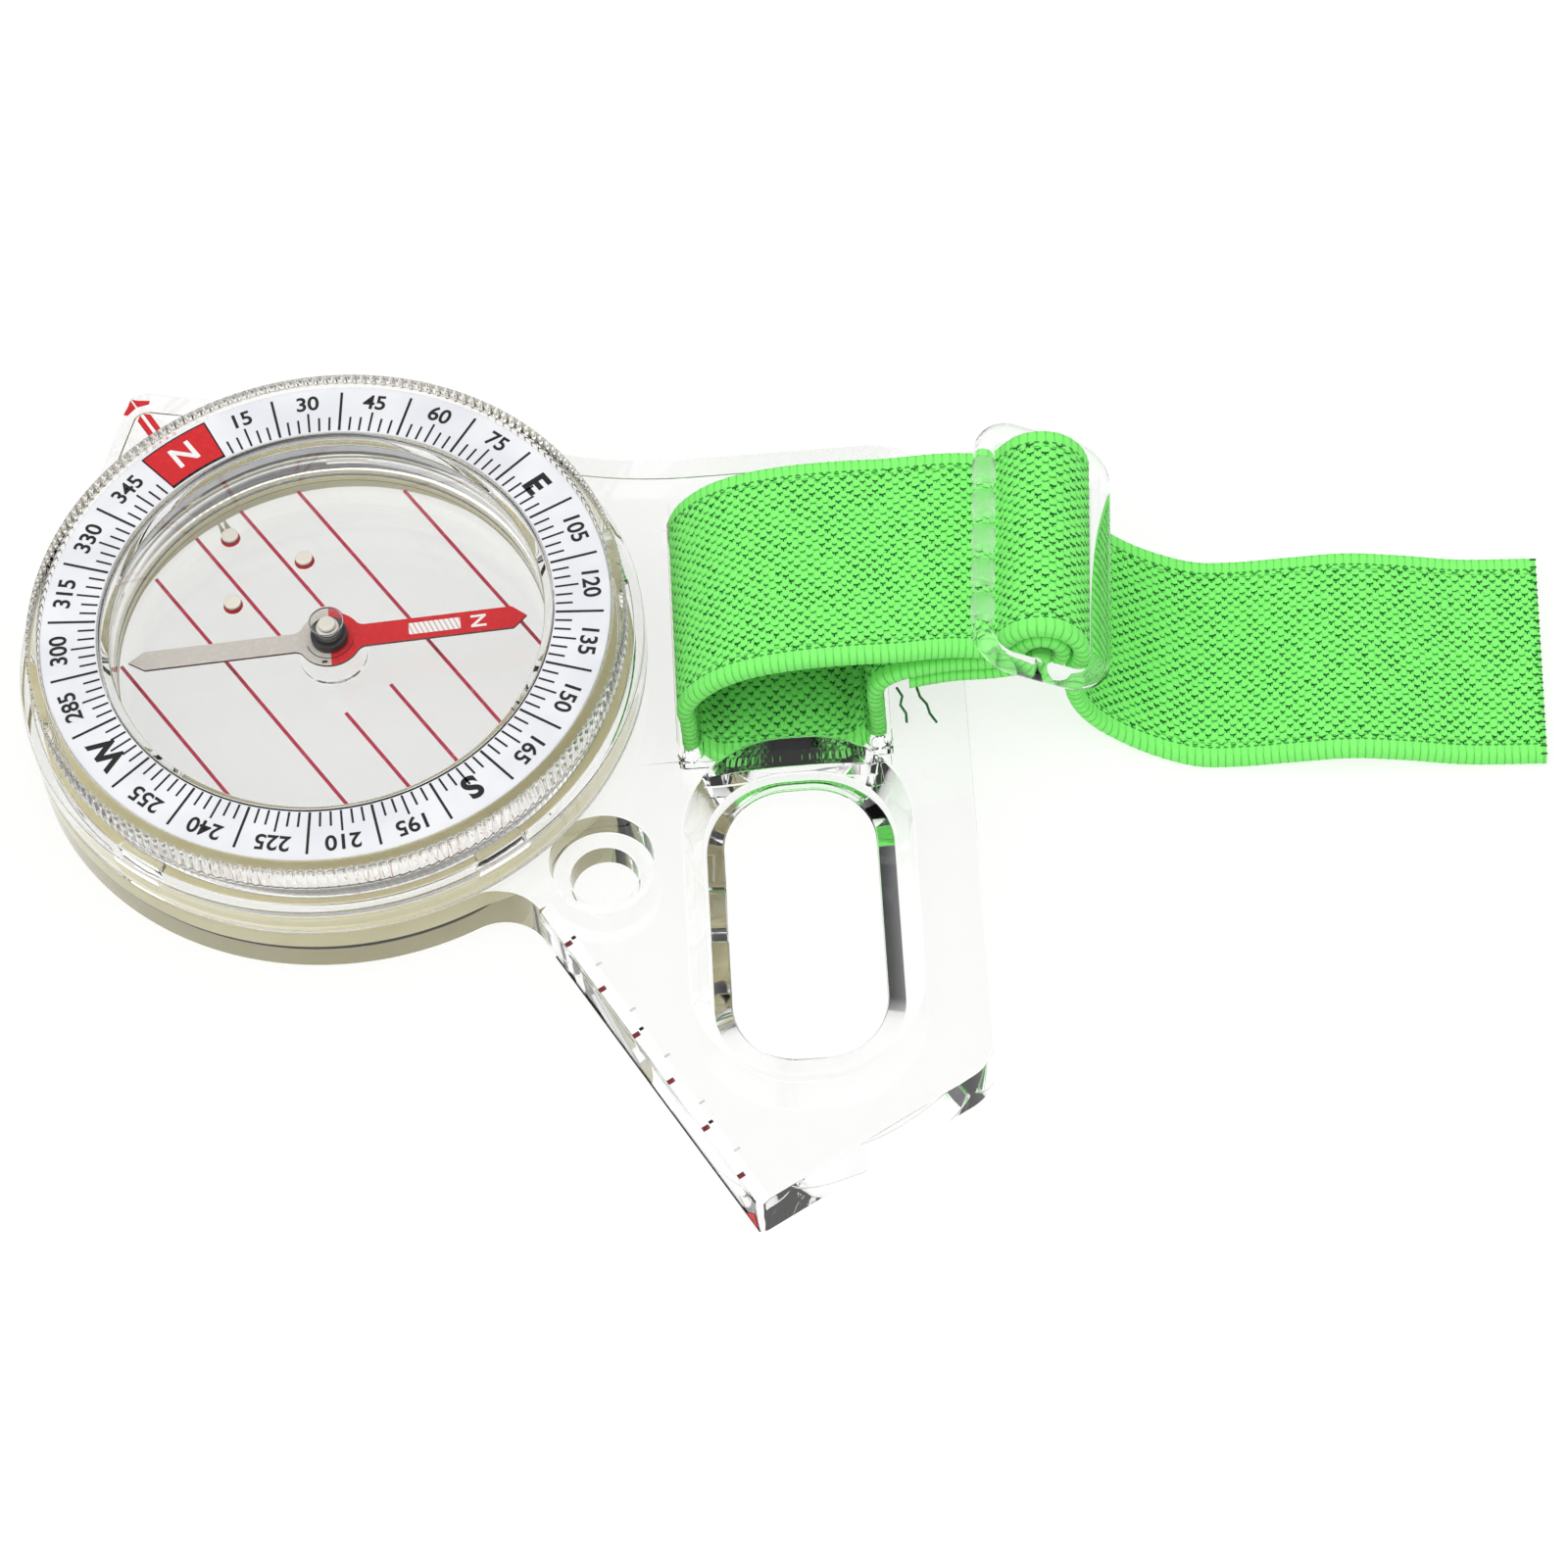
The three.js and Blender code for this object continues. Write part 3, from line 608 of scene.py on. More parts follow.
def makePlate():
    through, top = 1, plateTop
    piece = slabPiece("clear_plate", plateOutline(), 0, top, [clear])
    tools = []
    for x in plate["slots"]:
        loop = roundedLoop(x, strapMiddle, plate["slotWidth"], plate["slotLength"], plate["slotCorner"])
        tools.append(slabPiece("tool", loop, -through, top + through))
    left, right = plate["slots"]
    middle, width = (left + right) / 2, right - left + plate["slotWidth"]
    channel = roundedLoop(middle, strapMiddle, width, plate["channelWidth"], plate["channelCorner"])
    tools.append(slabPiece("tool", channel, -through, plate["channelHeight"]))
    bore = plate["lanyard"]
    floor = top - bore["depth"]
    tools.append(slabPiece("tool", circle(bore["at"], bore["hole"], 64), -through, top + through))
    tools.append(slabPiece("tool", circle(bore["at"], bore["counterbore"], 80), floor, top + through))
    x, y = plate["window"]["at"]
    wide, long = plate["window"]["size"]

    def grown(by):
        return roundedLoop(x, y, wide + 2 * by, long + 2 * by, plate["window"]["corner"] + by, 16)

    lip = plate["ledge"] + plate["windowDraft"]
    beyond = through * plate["windowDraft"] / (top - plate["ledgeTop"])
    under, rise = plate["windowChamfer"]
    tools.append(lofted("tool", [
        (grown(under + under * through / rise), -through),
        (grown(0), rise),
        (grown(0), plate["ledgeBottom"]),
        (grown(plate["ledge"]), plate["ledgeTop"]),
        (grown(lip + beyond), top + through),
    ]))
    inner, outer, floor = plate["groove"]
    rim = [(inner, floor), (outer, floor), (outer, top + through), (inner, top + through)]
    tools.append(turnedPiece("tool", rim, ringSteps, None, 0))
    tools.append(rulerBevel())
    combine(piece, "DIFFERENCE", *tools)
    place(polish(piece, 50, plate["edge"]), "plate", ["baseplate"])


def rulerBevel():
    wide, deep = plate["rulerChamfer"]
    back = onTravel(-plate["tailReach"] - 2, plate["rulerOffset"])
    reach = plate["tailReach"] + 2 - plate["rulerEnd"]
    along, right = onTravel(1, 0).to_3d(), onTravel(0, 1).to_3d()
    section = [(wide, 0), (-2, 2), (-2, -deep), (0, -deep)]
    vertices = []
    for step in (0, reach):
        for across, height in section:
            vertices.append(back.to_3d() + along * step + right * across + Vector((0, 0, plateTop + height)))
    faces = [(0, 1, 2, 3), (7, 6, 5, 4)] + [(i, i + 4, (i + 1) % 4 + 4, (i + 1) % 4) for i in range(4)]
    return faceOutwards(newPiece("tool", vertices, faces))


makePlate()
print("plate made")


# ---- printed marks on the plate, each a thin film of ink

filmThickness = 0.02


def film(outline, height):  # a flat patch of ink, as a mesh
    vertices = [(*p, z) for z in (height, height + filmThickness) for p in outline]
    return newMesh("film", vertices, solidFaces(len(outline)))


def bar(start, end, width):  # the outline of a straight line of ink
    side = (end - start).normalized()
    side = Vector((-side.y, side.x)) * (width / 2)
    return [start - side, end - side, end + side, start + side]


travelArrow = {  # half of it, as (along the line of travel, aside from the arrow's own axis)
    "axis": -0.55,
    "head": [(33.75, 0.07), (33.35, 0.45), (32.75, 1.28), (32.45, 1.05), (32.75, 0.07)],
    "shaft": [(31.9, 0.14), (31.45, 0.62), (29.5, 0.62), (29.6, 0.14)],
}


def makeTravelArrow():
    # Two painted halves with a bare line between them, and a bare gap between head and shaft.
    halves = []
    for side in (-1, 1):
        for half in (travelArrow["head"], travelArrow["shaft"]):
            outline = [onTravel(along, travelArrow["axis"] + side * aside) for along, aside in half]
            halves.append(film(outline[::side], plateTop - 0.005))
    faceOutwards(inked("travel_arrow", halves, redInk, "plate"))


makeTravelArrow()


# ---- node trees that lay out what repeats

def geometryTree(name, inputs):
    # A geometry tree with named inputs, each given as (socket type, default value).
    tree = bpy.data.node_groups.new(name, "GeometryNodeTree")
    tree.interface.new_socket("Geometry", in_out="INPUT", socket_type="NodeSocketGeometry")
    tree.interface.new_socket("Geometry", in_out="OUTPUT", socket_type="NodeSocketGeometry")
    for label, (kind, value) in inputs.items():
        socket = tree.interface.new_socket(label, in_out="INPUT", socket_type="NodeSocket" + kind)
        if value is not None:
            socket.default_value = value
    graph = Graph(tree)
    source = tree.nodes.new("NodeGroupInput")
    given = {socket.name: Signal(graph, socket) for socket in source.outputs if socket.name}
    return graph, given


def closeTree(graph, geometry, material):
    real = graph.node("GeometryNodeRealizeInstances", {}, {"Geometry": geometry})
    painted = graph.node("GeometryNodeSetMaterial", {}, {"Geometry": real, "Material": material})
    graph.node("NodeGroupOutput", {}, {"Geometry": painted})
    return graph.tree


def grow(piece, tree, values):  # runs a tree on a piece and keeps the result as its plain mesh
    modifier = piece.modifiers.new("layout", "NODES")
    modifier.node_group = tree
    for item in tree.interface.items_tree:
        if item.in_out == "INPUT" and item.name in values:
            modifier[item.identifier] = values[item.name]
    settle(piece)
    return piece


def emptyPiece(name):
    return newPiece(name, [], [])


def ringMarksTree():
    graph, given = geometryTree("ring_marks", {
        "Count": ("Int", 144),
        "Heading": ("Float", 0.0),
        "Radius": ("Float", 0.02),
        "Short": ("Float", 0.001),
        "Medium": ("Float", 0.002),
        "Long": ("Float", 0.003),
        "Width": ("Float", 0.0002),
        "Height": ("Float", 0.012),
        "Film": ("Float", 0.00002),
        "Ink": ("Material", None),
    })
    index = graph.node("GeometryNodeInputIndex")
    angle = given["Heading"] - index * (2 * math.pi) / given["Count"]
    sixth = graph.math("FLOORED_MODULO", index, 6.0)
    isLong, isMedium = graph.math("COMPARE", sixth, 3.0, 0.5), graph.math("COMPARE", sixth, 0.0, 0.5)
    length = given["Short"] + isMedium * (given["Medium"] - given["Short"])
    length = length + isLong * (given["Long"] - given["Short"])
    across, up = graph.math("COSINE", angle), graph.math("SINE", angle)
    spot = graph.joined(across * given["Radius"], up * given["Radius"], given["Height"])
    points = graph.node("GeometryNodePoints", {}, {"Count": given["Count"], "Position": spot})
    block = graph.node("GeometryNodeMeshCube", {}, {"Size": (1, 1, 1)})
    block = graph.node("GeometryNodeTransform", {}, {"Geometry": block, "Translation": (0.5, 0, 0.5)})
    width = given["Width"] * (1 + isLong * 0.25)
    laid = graph.node("GeometryNodeInstanceOnPoints", {}, {
        "Points": points,
        "Instance": block,
        "Rotation": graph.joined(0.0, 0.0, angle),
        "Scale": graph.joined(length, width, given["Film"]),
    })
    return closeTree(graph, laid, given["Ink"])


def rowMarksTree():
    graph, given = geometryTree("row_marks", {
        "Count": ("Int", 6),
        "Start": ("Vector", (0, 0, 0)),
        "Step": ("Vector", (0, 0, 0)),
        "Turn": ("Float", 0.0),
        "Size": ("Vector", (0.001, 0.001, 0.001)),
        "Ink": ("Material", None),
    })
    places = {"Count": given["Count"], "Start Location": given["Start"], "Offset": given["Step"]}
    line = graph.node("GeometryNodeMeshLine", {}, places)
    block = graph.node("GeometryNodeMeshCube", {}, {"Size": (1, 1, 1)})
    laid = graph.node("GeometryNodeInstanceOnPoints", {}, {
        "Points": line,
        "Instance": block,
        "Rotation": graph.joined(0.0, 0.0, given["Turn"]),
        "Scale": given["Size"],
    })
    return closeTree(graph, laid, given["Ink"])


def knurlTree():
    graph, given = geometryTree("knurl", {
        "Ridges": ("Float", 180.0),
        "Depth": ("Float", 0.0003),
        "Rim": ("Float", 0.024),
        "Low": ("Float", 0.009),
        "High": ("Float", 0.012),
        "Plastic": ("Material", None),
    })
    spot = graph.node("GeometryNodeInputPosition")
    x, y, z = graph.parts(spot)
    radius = graph.math("SQRT", x * x + y * y)
    wave = graph.math("COSINE", graph.math("ARCTAN2", y, x) * given["Ridges"]) * 0.5 + 0.5
    crest = graph.math("POWER", wave, 1.6)
    outside = graph.math("GREATER_THAN", radius, given["Rim"])
    inside = graph.math("GREATER_THAN", z, given["Low"]) * graph.math("LESS_THAN", z, given["High"])
    inward = (crest - 1) * given["Depth"] * outside * inside / radius
    offset = graph.joined(x * inward, y * inward, 0.0)
    moved = graph.node("GeometryNodeSetPosition", {}, {"Geometry": given["Geometry"], "Offset": offset})
    return closeTree(graph, moved, given["Plastic"])


ringMarks, rowMarks, knurl = ringMarksTree(), rowMarksTree(), knurlTree()


def row(name, count, start, step, turn, size, ink, body, slot):
    piece = grow(emptyPiece(name), rowMarks, {
        "Count": count,
        "Start": [v * mm for v in start],
        "Step": [v * mm for v in step],
        "Turn": math.radians(turn),
        "Size": [v * mm for v in size],
        "Ink": ink,
    })
    return place(piece, body)


ruler = {  # places are along the line of travel and to its right
    "pitch": 5.03,
    "first": -33.1,
    "marks": {"count": 6, "right": 1.84, "size": (0.6, 0.4, 0.06)},
    "dots": {"count": 3, "right": 2.38, "size": (0.36, 0.26, 0.04)},
    "ticks": {"count": 5, "right": 2.72, "size": (0.5, 0.16, 0.05)},
    "line": {"from": -31.0, "short": 0.3, "width": 0.13},  # a line of painted shade along the foot of the ruler's edge, where the edge looks dark
}


def makeRulerMarks():
    def marks(name, settings, offset, height, pitches, ink, slot):
        start = onTravel(ruler["first"] + offset, settings["right"])
        step = pitches * onTravel(-ruler["pitch"], 0).to_3d()
        count, size = settings["count"], settings["size"]
        row(name, count, (*start, plateTop + height), step, travelAngle - 90, size, ink, "plate", slot)

    marks("ruler_marks", ruler["marks"], 0, -0.33, 1, maroonInk, "needle_paint")
    # a black film on the plate's bottom under the ruler's edge: painted shade where the edge looks dark
    line, edge = ruler["line"], plate["rulerOffset"] - 0.04
    end = onTravel(line["short"] - plate["tailReach"], edge)
    foot = bar(onTravel(line["from"], edge), end, line["width"])
    inked("ruler_edge_shade", [film(foot, 0.03)], blackInk, "plate")
    marks("ruler_dots", ruler["dots"], 0.1, -0.05, 2, blackInk, "magnet")
    marks("ruler_ticks", ruler["ticks"], -3.1, 0.02, 1, paleInk, "dial_plastic")


tipMark = {
    "corners": [(0.62, 0.05), (2.3, 0.05), (0.9, 1.9)],  # from the tail's tip, and height
    "depth": (0.02, 0.06),  # its two faces, outside the plate's wall
}


def makeTipMark():
    vertices = []
    for out in tipMark["depth"]:
        for forwards, height in tipMark["corners"]:
            vertices.append((*onTravel(forwards - plate["tailReach"], plate["rulerOffset"] - out), height))
    faces = [(0, 1, 2), (5, 4, 3), (0, 3, 4, 1), (1, 4, 5, 2), (2, 5, 3, 0)]
    place(faceOutwards(newPiece("tip_mark", vertices, faces, [redInk])), "plate")


makeRulerMarks()
makeTipMark()
print("marks made")


# ---- rings that hold the capsule

rings = {
    "glow": {"inner": 18.8, "outer": 24.2, "bond": 0.12},  # the bond leaves no air under the ring
    "collar": {"inner": 24.5, "lugReach": 0.75, "lugHeight": 0.7, "lugs": 5, "lugAngle": 5, "firstLug": 15},
}


def makeGlowRing():
    # Widened where it sits in its groove, so that the plastic touches it.
    low, high = span("luminous_ring")
    ring = rings["glow"]
    inner, outer, bond = ring["inner"], ring["outer"], ring["bond"]
    shoulder = plateTop - 0.15
    profile = [
        (inner - bond, low.z - bond), (outer + bond, low.z - bond), (outer + bond, shoulder),
        (outer, shoulder + bond), (outer, high.z), (inner, high.z), (inner, shoulder + bond),
        (inner - bond, shoulder),
    ]
    piece = turnedPiece("glow_ring", profile, ringSteps, cream, 0.15)
    place(piece, "plate", ["luminous_ring"])


def makeCollar():
    low, high = span("bezel_collar")
    collar = rings["collar"]
    inner, top = collar["inner"], high.z
    profile = [(inner, low.z), (plateRadius, low.z), (plateRadius, top), (inner, top)]
    piece = turnedPiece("clear_collar", profile, ringSteps, clear, 0.16)
    lugs = []
    for i in range(collar["lugs"]):
        middle = 360 / collar["lugs"] * i + collar["firstLug"]
        start, end = middle - collar["lugAngle"], middle + collar["lugAngle"]
        lug = sector(inner - collar["lugReach"], inner + 0.3, start, end, 12)
        lugs.append(slabPiece("lug", lug, top - collar["lugHeight"], top))
    place(polish(combine(piece, "UNION", *lugs)), "plate", ["bezel_collar"])


makeGlowRing()
makeCollar()

bezelShape = {
    "bore": 19.3,
    "flangeTop": 7.0,
    "neck": 23.4,
    "gripBottom": 9.2,
    "seat": 23.15,
    "seatHeight": 11.5,
    "ridges": 188,
    "ridgeDepth": 0.24,
    "stepsPerRidge": 5,
}


def makeBezel():
    low, high = span("bezel")
    shape, outer = bezelShape, high.x
    bore, neck, seat = shape["bore"], shape["neck"], shape["seat"]
    profile = [
        (bore, low.z), (outer, low.z), (outer, shape["flangeTop"]), (neck, shape["flangeTop"]),
        (neck, shape["gripBottom"]), (outer, shape["gripBottom"]), (outer, high.z), (seat, high.z),
        (seat, shape["seatHeight"]), (bore, shape["seatHeight"]),
    ]
    steps = shape["ridges"] * shape["stepsPerRidge"]
    piece = turnedPiece("knurled_bezel", profile, steps, bezelClear, 0.18)
    grow(piece, knurl, {
        "Ridges": float(shape["ridges"]),
        "Depth": shape["ridgeDepth"] * mm,
        "Rim": (neck + 0.35) * mm,
        "Low": (shape["gripBottom"] + 0.25) * mm,
        "High": (high.z - 0.15) * mm,
        "Plastic": bezelClear,
    })
    place(polish(piece, 70), "bezel", ["bezel"])


makeBezel()
print("rings made")


# ---- dial: a pale ring on a skirt, with its printed scale

dialShape = {
    "inner": 18.5,
    "scaleFrom": 18.62,
    "scaleTo": 22.75,
    "skirt": 0.6,
    "ticks": 144,
    "width": 0.17,
    "short": 1.35,
    "medium": 1.9,
    "long": 3.85,
    "letterRadius": 20.75,
    "figureRadius": 21.47,
    "figureSize": 1.95,
    "letterSize": 2.9,
    "northHalf": 7.5,
    "northRim": (0.23, 0.15, 0.35),  # inside, outside and, in degrees, at each side
}
printHeight = span("dial_ring")[1].z + 0.004


def makeDialRing():
    low, high = span("dial_ring")
    inner, outer = dialShape["inner"], high.x
    seat = bezelShape["seatHeight"] + 0.05
    skirt = inner + dialShape["skirt"]
    profile = [(inner, low.z), (skirt, low.z), (skirt, seat), (outer, seat), (outer, high.z), (inner, high.z)]
    piece = turnedPiece("dial_disc", profile, ringSteps, dialGrey, 0.1)
    place(piece, "bezel", ["dial_ring"])


def makeTicks():
    piece = grow(emptyPiece("dial_ticks"), ringMarks, {
        "Count": dialShape["ticks"],
        "Heading": math.radians(dialHeading),
        "Radius": dialShape["scaleFrom"] * mm,
        "Short": dialShape["short"] * mm,
        "Medium": dialShape["medium"] * mm,
        "Long": dialShape["long"] * mm,
        "Width": dialShape["width"] * mm,
        "Height": printHeight * mm,
        "Film": filmThickness * mm,
        "Ink": blackInk,
    })
    place(piece, "bezel")


def lettering(text, size, weight, centre, turn, height):
    # One word as a thin mesh, centred on a point of the dial and turned.
    curve = bpy.data.curves.new("lettering", "FONT")
    curve.body, curve.size = text, size * mm
    curve.align_x, curve.align_y = "CENTER", "CENTER"
    curve.extrude, curve.offset = filmThickness * mm / 2, weight * mm
    holder = addObject("lettering", curve)
    bpy.context.view_layer.update()
    depsgraph = bpy.context.evaluated_depsgraph_get()
    mesh = bpy.data.meshes.new_from_object(holder.evaluated_get(depsgraph), depsgraph=depsgraph)
    bpy.data.objects.remove(holder)
    spot = Vector((*centre, height + filmThickness / 2)) * mm
    mesh.transform(Matrix.Translation(spot) @ Matrix.Rotation(math.radians(turn), 4, "Z"))
    mesh.materials.clear()
    return mesh


def makeFigures():
    letters = {90: "E", 180: "S", 270: "W"}
    thin, bold = [], []
    for azimuth in range(15, 360, 15):
        angle = dialHeading - azimuth
        if azimuth in letters:
            spot, size = polar(dialShape["letterRadius"], angle), dialShape["letterSize"]
            bold.append(lettering(letters[azimuth], size, 0.10, spot, angle - 90, printHeight))
        else:
            spot, size = polar(dialShape["figureRadius"], angle), dialShape["figureSize"]
            thin.append(lettering(str(azimuth), size, 0.035, spot, angle - 90, printHeight))
    inked("dial_figures", thin, blackInk, "bezel")
    inked("dial_letters", bold, blackInk, "bezel")


def makeNorthMark():
    inside, outside, beside = dialShape["northRim"]
    first, last = dialHeading - dialShape["northHalf"], dialHeading + dialShape["northHalf"]
    inner, outer = dialShape["scaleFrom"], dialShape["scaleTo"]
    rim = film(sector(inner, outer, first - beside, last + beside, 12), printHeight)
    box = film(sector(inner + inside, outer - outside, first, last, 12), printHeight + 0.012)
    inked("north_rim", [rim], blackInk, "bezel")
    inked("north_box", [box], redInk, "bezel")
    spot, size = polar(dialShape["letterRadius"] - 0.05, dialHeading), dialShape["letterSize"]
    letter = lettering("N", size, 0.06, spot, dialHeading - 90, printHeight + 0.035)
    inked("north_letter", [letter], whiteInk, "bezel")


makeDialRing()
makeTicks()
makeFigures()
makeNorthMark()
print("dial made")


# ---- capsule

capsule = {
    "outer": 18.3,
    "inner": 17.6,
    "floor": 6.0,
    "belt": (19.1, 6.2, 9.1),
    "boss": (2.75, 6.35),
    "post": (0.9, 7.1),
    "socket": 0.3,
    "lidRadius": 18.4,
    "lidBoss": 1.35,
    "dots": [(15.5, 0), (10.35, 19.9), (10.35, -19.9)],  # radius, and angle from the printed north
    "dotRadius": 0.7,
    "dotDepth": 0.55,
    "plugAngle": 205,
    "plugRadius": 0.45,
    "steps": 192,
}


def tube(name, points, radius, sides):  # a round rod along a line of points, as a mesh
    path = [Vector(p) for p in points]
    vertices = []
    for i, spot in enumerate(path):
        ahead = (path[min(i + 1, len(path) - 1)] - path[max(i - 1, 0)]).normalized()
        turn = ahead.to_track_quat("Z", "Y")
        vertices += [spot + turn @ polar(radius, 360 * k / sides, 0) for k in range(sides)]
    return newMesh(name, vertices, solidFaces(sides, len(path)))


def dotPlaces():
    return [polar(radius, dialHeading + angle) for radius, angle in capsule["dots"]]


def makeCup():
    low, high = span("capsule_cup")
    c = capsule
    beltRadius, beltLow, beltHigh = c["belt"]
    bossRadius, bossTop = c["boss"]
    postRadius, postTop = c["post"]
    profile = [
        (0, low.z), (c["outer"], low.z), (c["outer"], beltLow), (beltRadius, beltLow), (beltRadius, beltHigh),
        (c["outer"], beltHigh), (c["outer"], high.z), (c["inner"], high.z), (c["inner"], c["floor"]),
        (bossRadius, c["floor"]), (bossRadius, bossTop), (postRadius, bossTop), (postRadius, postTop),
        (c["socket"], postTop), (c["socket"], c["floor"]), (0, c["floor"]),
    ]
    piece = turnedPiece("clear_cup", profile, c["steps"], clear, 0.1)
    tools = []
    for spot in dotPlaces():
        hole = circle(spot, c["dotRadius"] - 0.02, 40)
        tools.append(slabPiece("tool", hole, c["floor"] - c["dotDepth"], c["floor"] + 1))
    angle, height = dialHeading + c["plugAngle"], high.z - 1
    ends = [polar(c["inner"] - 1, angle, height), polar(c["outer"] + 1, angle, height)]
    tools.append(addObject("tool", tube("tool", ends, c["plugRadius"], 24)))
    place(polish(combine(piece, "DIFFERENCE", *tools)), "bezel", ["capsule_cup"])


def makeLid():
    low, high = span("capsule_lid")
    boss = capsule["lidBoss"]
    under = low.z + 0.25
    profile = [(0, low.z), (boss, low.z), (boss, under), (capsule["lidRadius"], under),
               (capsule["lidRadius"], high.z), (0, high.z)]
    piece = turnedPiece("clear_lid", profile, capsule["steps"], clear, 0.1)
    place(piece, "bezel", ["capsule_lid"])


def makeDots():
    for i, spot in enumerate(dotPlaces(), 1):
        node = "luminous_dot_" + str(i)
        low, high = span(node)
        wide, base, top = capsule["dotRadius"], low.z, high.z
        loops = [(0.62, base), (wide, base + 0.08), (wide, base + 0.22), (wide, top - 0.06), (0.64, top)]
        rounds = [(circle(spot, radius, 40), z) for radius, z in loops]
        piece = lofted("glow_dot_" + str(i), rounds, [dotCream, redInk])
        for face in piece.data.polygons:
            face.material_index = int(face.center.z < (low.z + 0.2) * mm)
        place(polish(piece), "bezel", [node])


orientingLines = {
    "offsets": (-14.0, -7.05, -2.2, 2.2, 7.05, 14.0),
    "reach": 17.5,
    "gap": 5.3,  # radius round the pivot that the lines keep clear of
    "width": 0.3,
}


def makeOrientingLines():
    # Lines that run north and south under the capsule's floor. The middle pair stops short of the pivot.
    under = span("capsule_cup")[0].z - 0.04
    north, east = polar(1, dialHeading), polar(1, dialHeading - 90)
    films = []
    for offset in orientingLines["offsets"]:
        reach = math.sqrt(orientingLines["reach"] ** 2 - offset**2)
        gap = math.sqrt(max(orientingLines["gap"] ** 2 - offset**2, 0))
        for start, end in [(-reach, -gap), (gap, reach)] if gap else [(-reach, reach)]:
            line = bar(east * offset + north * start, east * offset + north * end, orientingLines["width"])
            films.append(film(line, under))
    inked("orienting_lines", films, pinkInk, "bezel")
    backs = [film(circle(spot, capsule["dotRadius"] + 0.12, 40), under) for spot in dotPlaces()]
    inked("dot_backs", backs, redInk, "bezel")


makeCup()
makeLid()
makeDots()
makeOrientingLines()
for node, material in (("pivot_pin", pinSteel), ("filler_plug", clear)):
    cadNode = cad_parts[node]
    cadNode.data.materials.clear()
    cadNode.data.materials.append(material)
print("capsule made")


# ---- needle

needle = {
    "north": {"half": 1.05, "shoulder": 14.85, "tip": 16.0},
    "south": {"half": 0.9, "shoulder": 15.1, "tip": 16.4},
    "hub": 2.6,
    "hubFillet": 0.9,
    "bore": 0.6,
    "window": (6.4, 10.6, 0.55),
    "letterAt": 12.0,
    "letterSize": 1.75,
    "groove": (1.88, 1.95, 195, 345),  # a black arc round one side of the hub, painted shade where the hub's groove looks dark: its radii and its ends
    "dash": (-0.75, -2.2),
}


def needleSide(arm):
    # Half an outline, from the tip along the left edge to the hub's crown, with a fillet into the hub.
    fillet, hub, half = needle["hubFillet"], needle["hub"], arm["half"]
    centreY = half + fillet
    centre = Vector((math.sqrt((hub + fillet) ** 2 - centreY**2), centreY))
    touch = math.degrees(math.atan2(centre.y, centre.x))
    points = [Vector((arm["tip"], 0)), Vector((arm["shoulder"], half))]
    points += arc(centre, fillet, 270, 180 + touch, 8)
    return points + arc((0, 0), hub, touch, 90, 16)[1:]


def makeBlade():
    low, high = span("needle_blade")
    meshes = []
    turn = Matrix.Rotation(math.radians(needleHeading), 4, "Z")
    for index, (arm, way) in enumerate((("north", 1), ("south", -1))):
        side = [p * way for p in needleSide(needle[arm])]
        half = slabPiece("half", side + [Vector((p.x, -p.y)) for p in reversed(side[1:])], low.z, high.z)
        bore = slabPiece("tool", circle((0, 0), needle["bore"], 32), low.z - 1, high.z + 1)
        combine(half, "DIFFERENCE", bore)
        bevel = half.modifiers.new("edges", "BEVEL")
        bevel.width, bevel.segments, bevel.limit_method = 0.03 * mm, 2, "ANGLE"
        settle(half)
        for face in half.data.polygons:
            face.material_index = index if abs(face.normal.z) > 0.5 else 2
        half.data.transform(turn)
        meshes.append(half.data.copy())
        bpy.data.objects.remove(half)
    piece = joinMeshes("needle_halves", meshes, [redInk, boneInk, edgeInk])
    place(piece, "needle", ["needle_blade"])


def makeNeedleMarks():
    top = span("needle_blade")[1].z + 0.004
    start, end, half = needle["window"]
    turn = math.radians(needleHeading)
    loop = roundedLoop((start + end) / 2, 0, end - start, 2 * half, 0.12, 3)
    window = [turned2d(p, turn) for p in loop]
    inked("needle_window", [film(window, top)], windowInk, "needle")
    spot = polar(needle["letterAt"], needleHeading)
    letter = lettering("N", needle["letterSize"], 0.03, spot, needleHeading - 90, top)
    inked("needle_letter", [letter], whiteInk, "needle")
    # The groove arc is painted shade: a black film where the hub's groove looks dark, on one side only.
    groove = film([turned2d(p, turn) for p in sector(*needle["groove"], 40)], top)
    spot = turned2d(Vector(needle["dash"]), turn)
    dash = film(bar(spot, spot + polar(0.42, needleHeading), 0.22), top)
    inked("hub_shade_and_dash", [groove, dash], blackInk, "needle")


def makeMagnet():
    low, high = span("needle_magnet")
    bore, radius = needle["bore"], high.x
    profile = [(bore, low.z), (radius, low.z), (radius, high.z), (bore, high.z)]
    place(turnedPiece("magnet_disc", profile, 64, magnetBlack, 0.1), "needle", ["needle_magnet"])


def makeJewel():
    low, high = span("jewel_cap")
    foot, bore, z = high.x, 0.34, low.z
    profile = [
        (bore, z), (foot, z), (foot, z + 0.3), (0.72, z + 0.38), (0.72, z + 0.48), (0.86, z + 0.56),
        (0.86, z + 0.8), (0.62, z + 0.88), (0.62, z + 0.98), (0.72, z + 1.04), (0.66, high.z), (0, high.z),
        (0, z + 0.95), (bore, z + 0.75),
    ]
    place(turnedPiece("jewel", profile, 64, jewelGlass, 0.05), "needle", ["jewel_cap"])


def hatchedInk(name, light, dark):
    # White print crossed by fine slanting strokes.
    def build(g):
        x, y, _ = g.parts(g.here())
        stroke = g.math("FRACT", (x * 1.0 + y * 0.45) / (0.42 * mm))
        line = g.steps(g.math("ABSOLUTE", stroke - 0.5), 0.3, 0.42)
        return g.skin({
            "Base Color": g.mix(line, light, dark),
            "Roughness": 0.5 + line * 0.2,
        })

    return newMaterial(name, build)


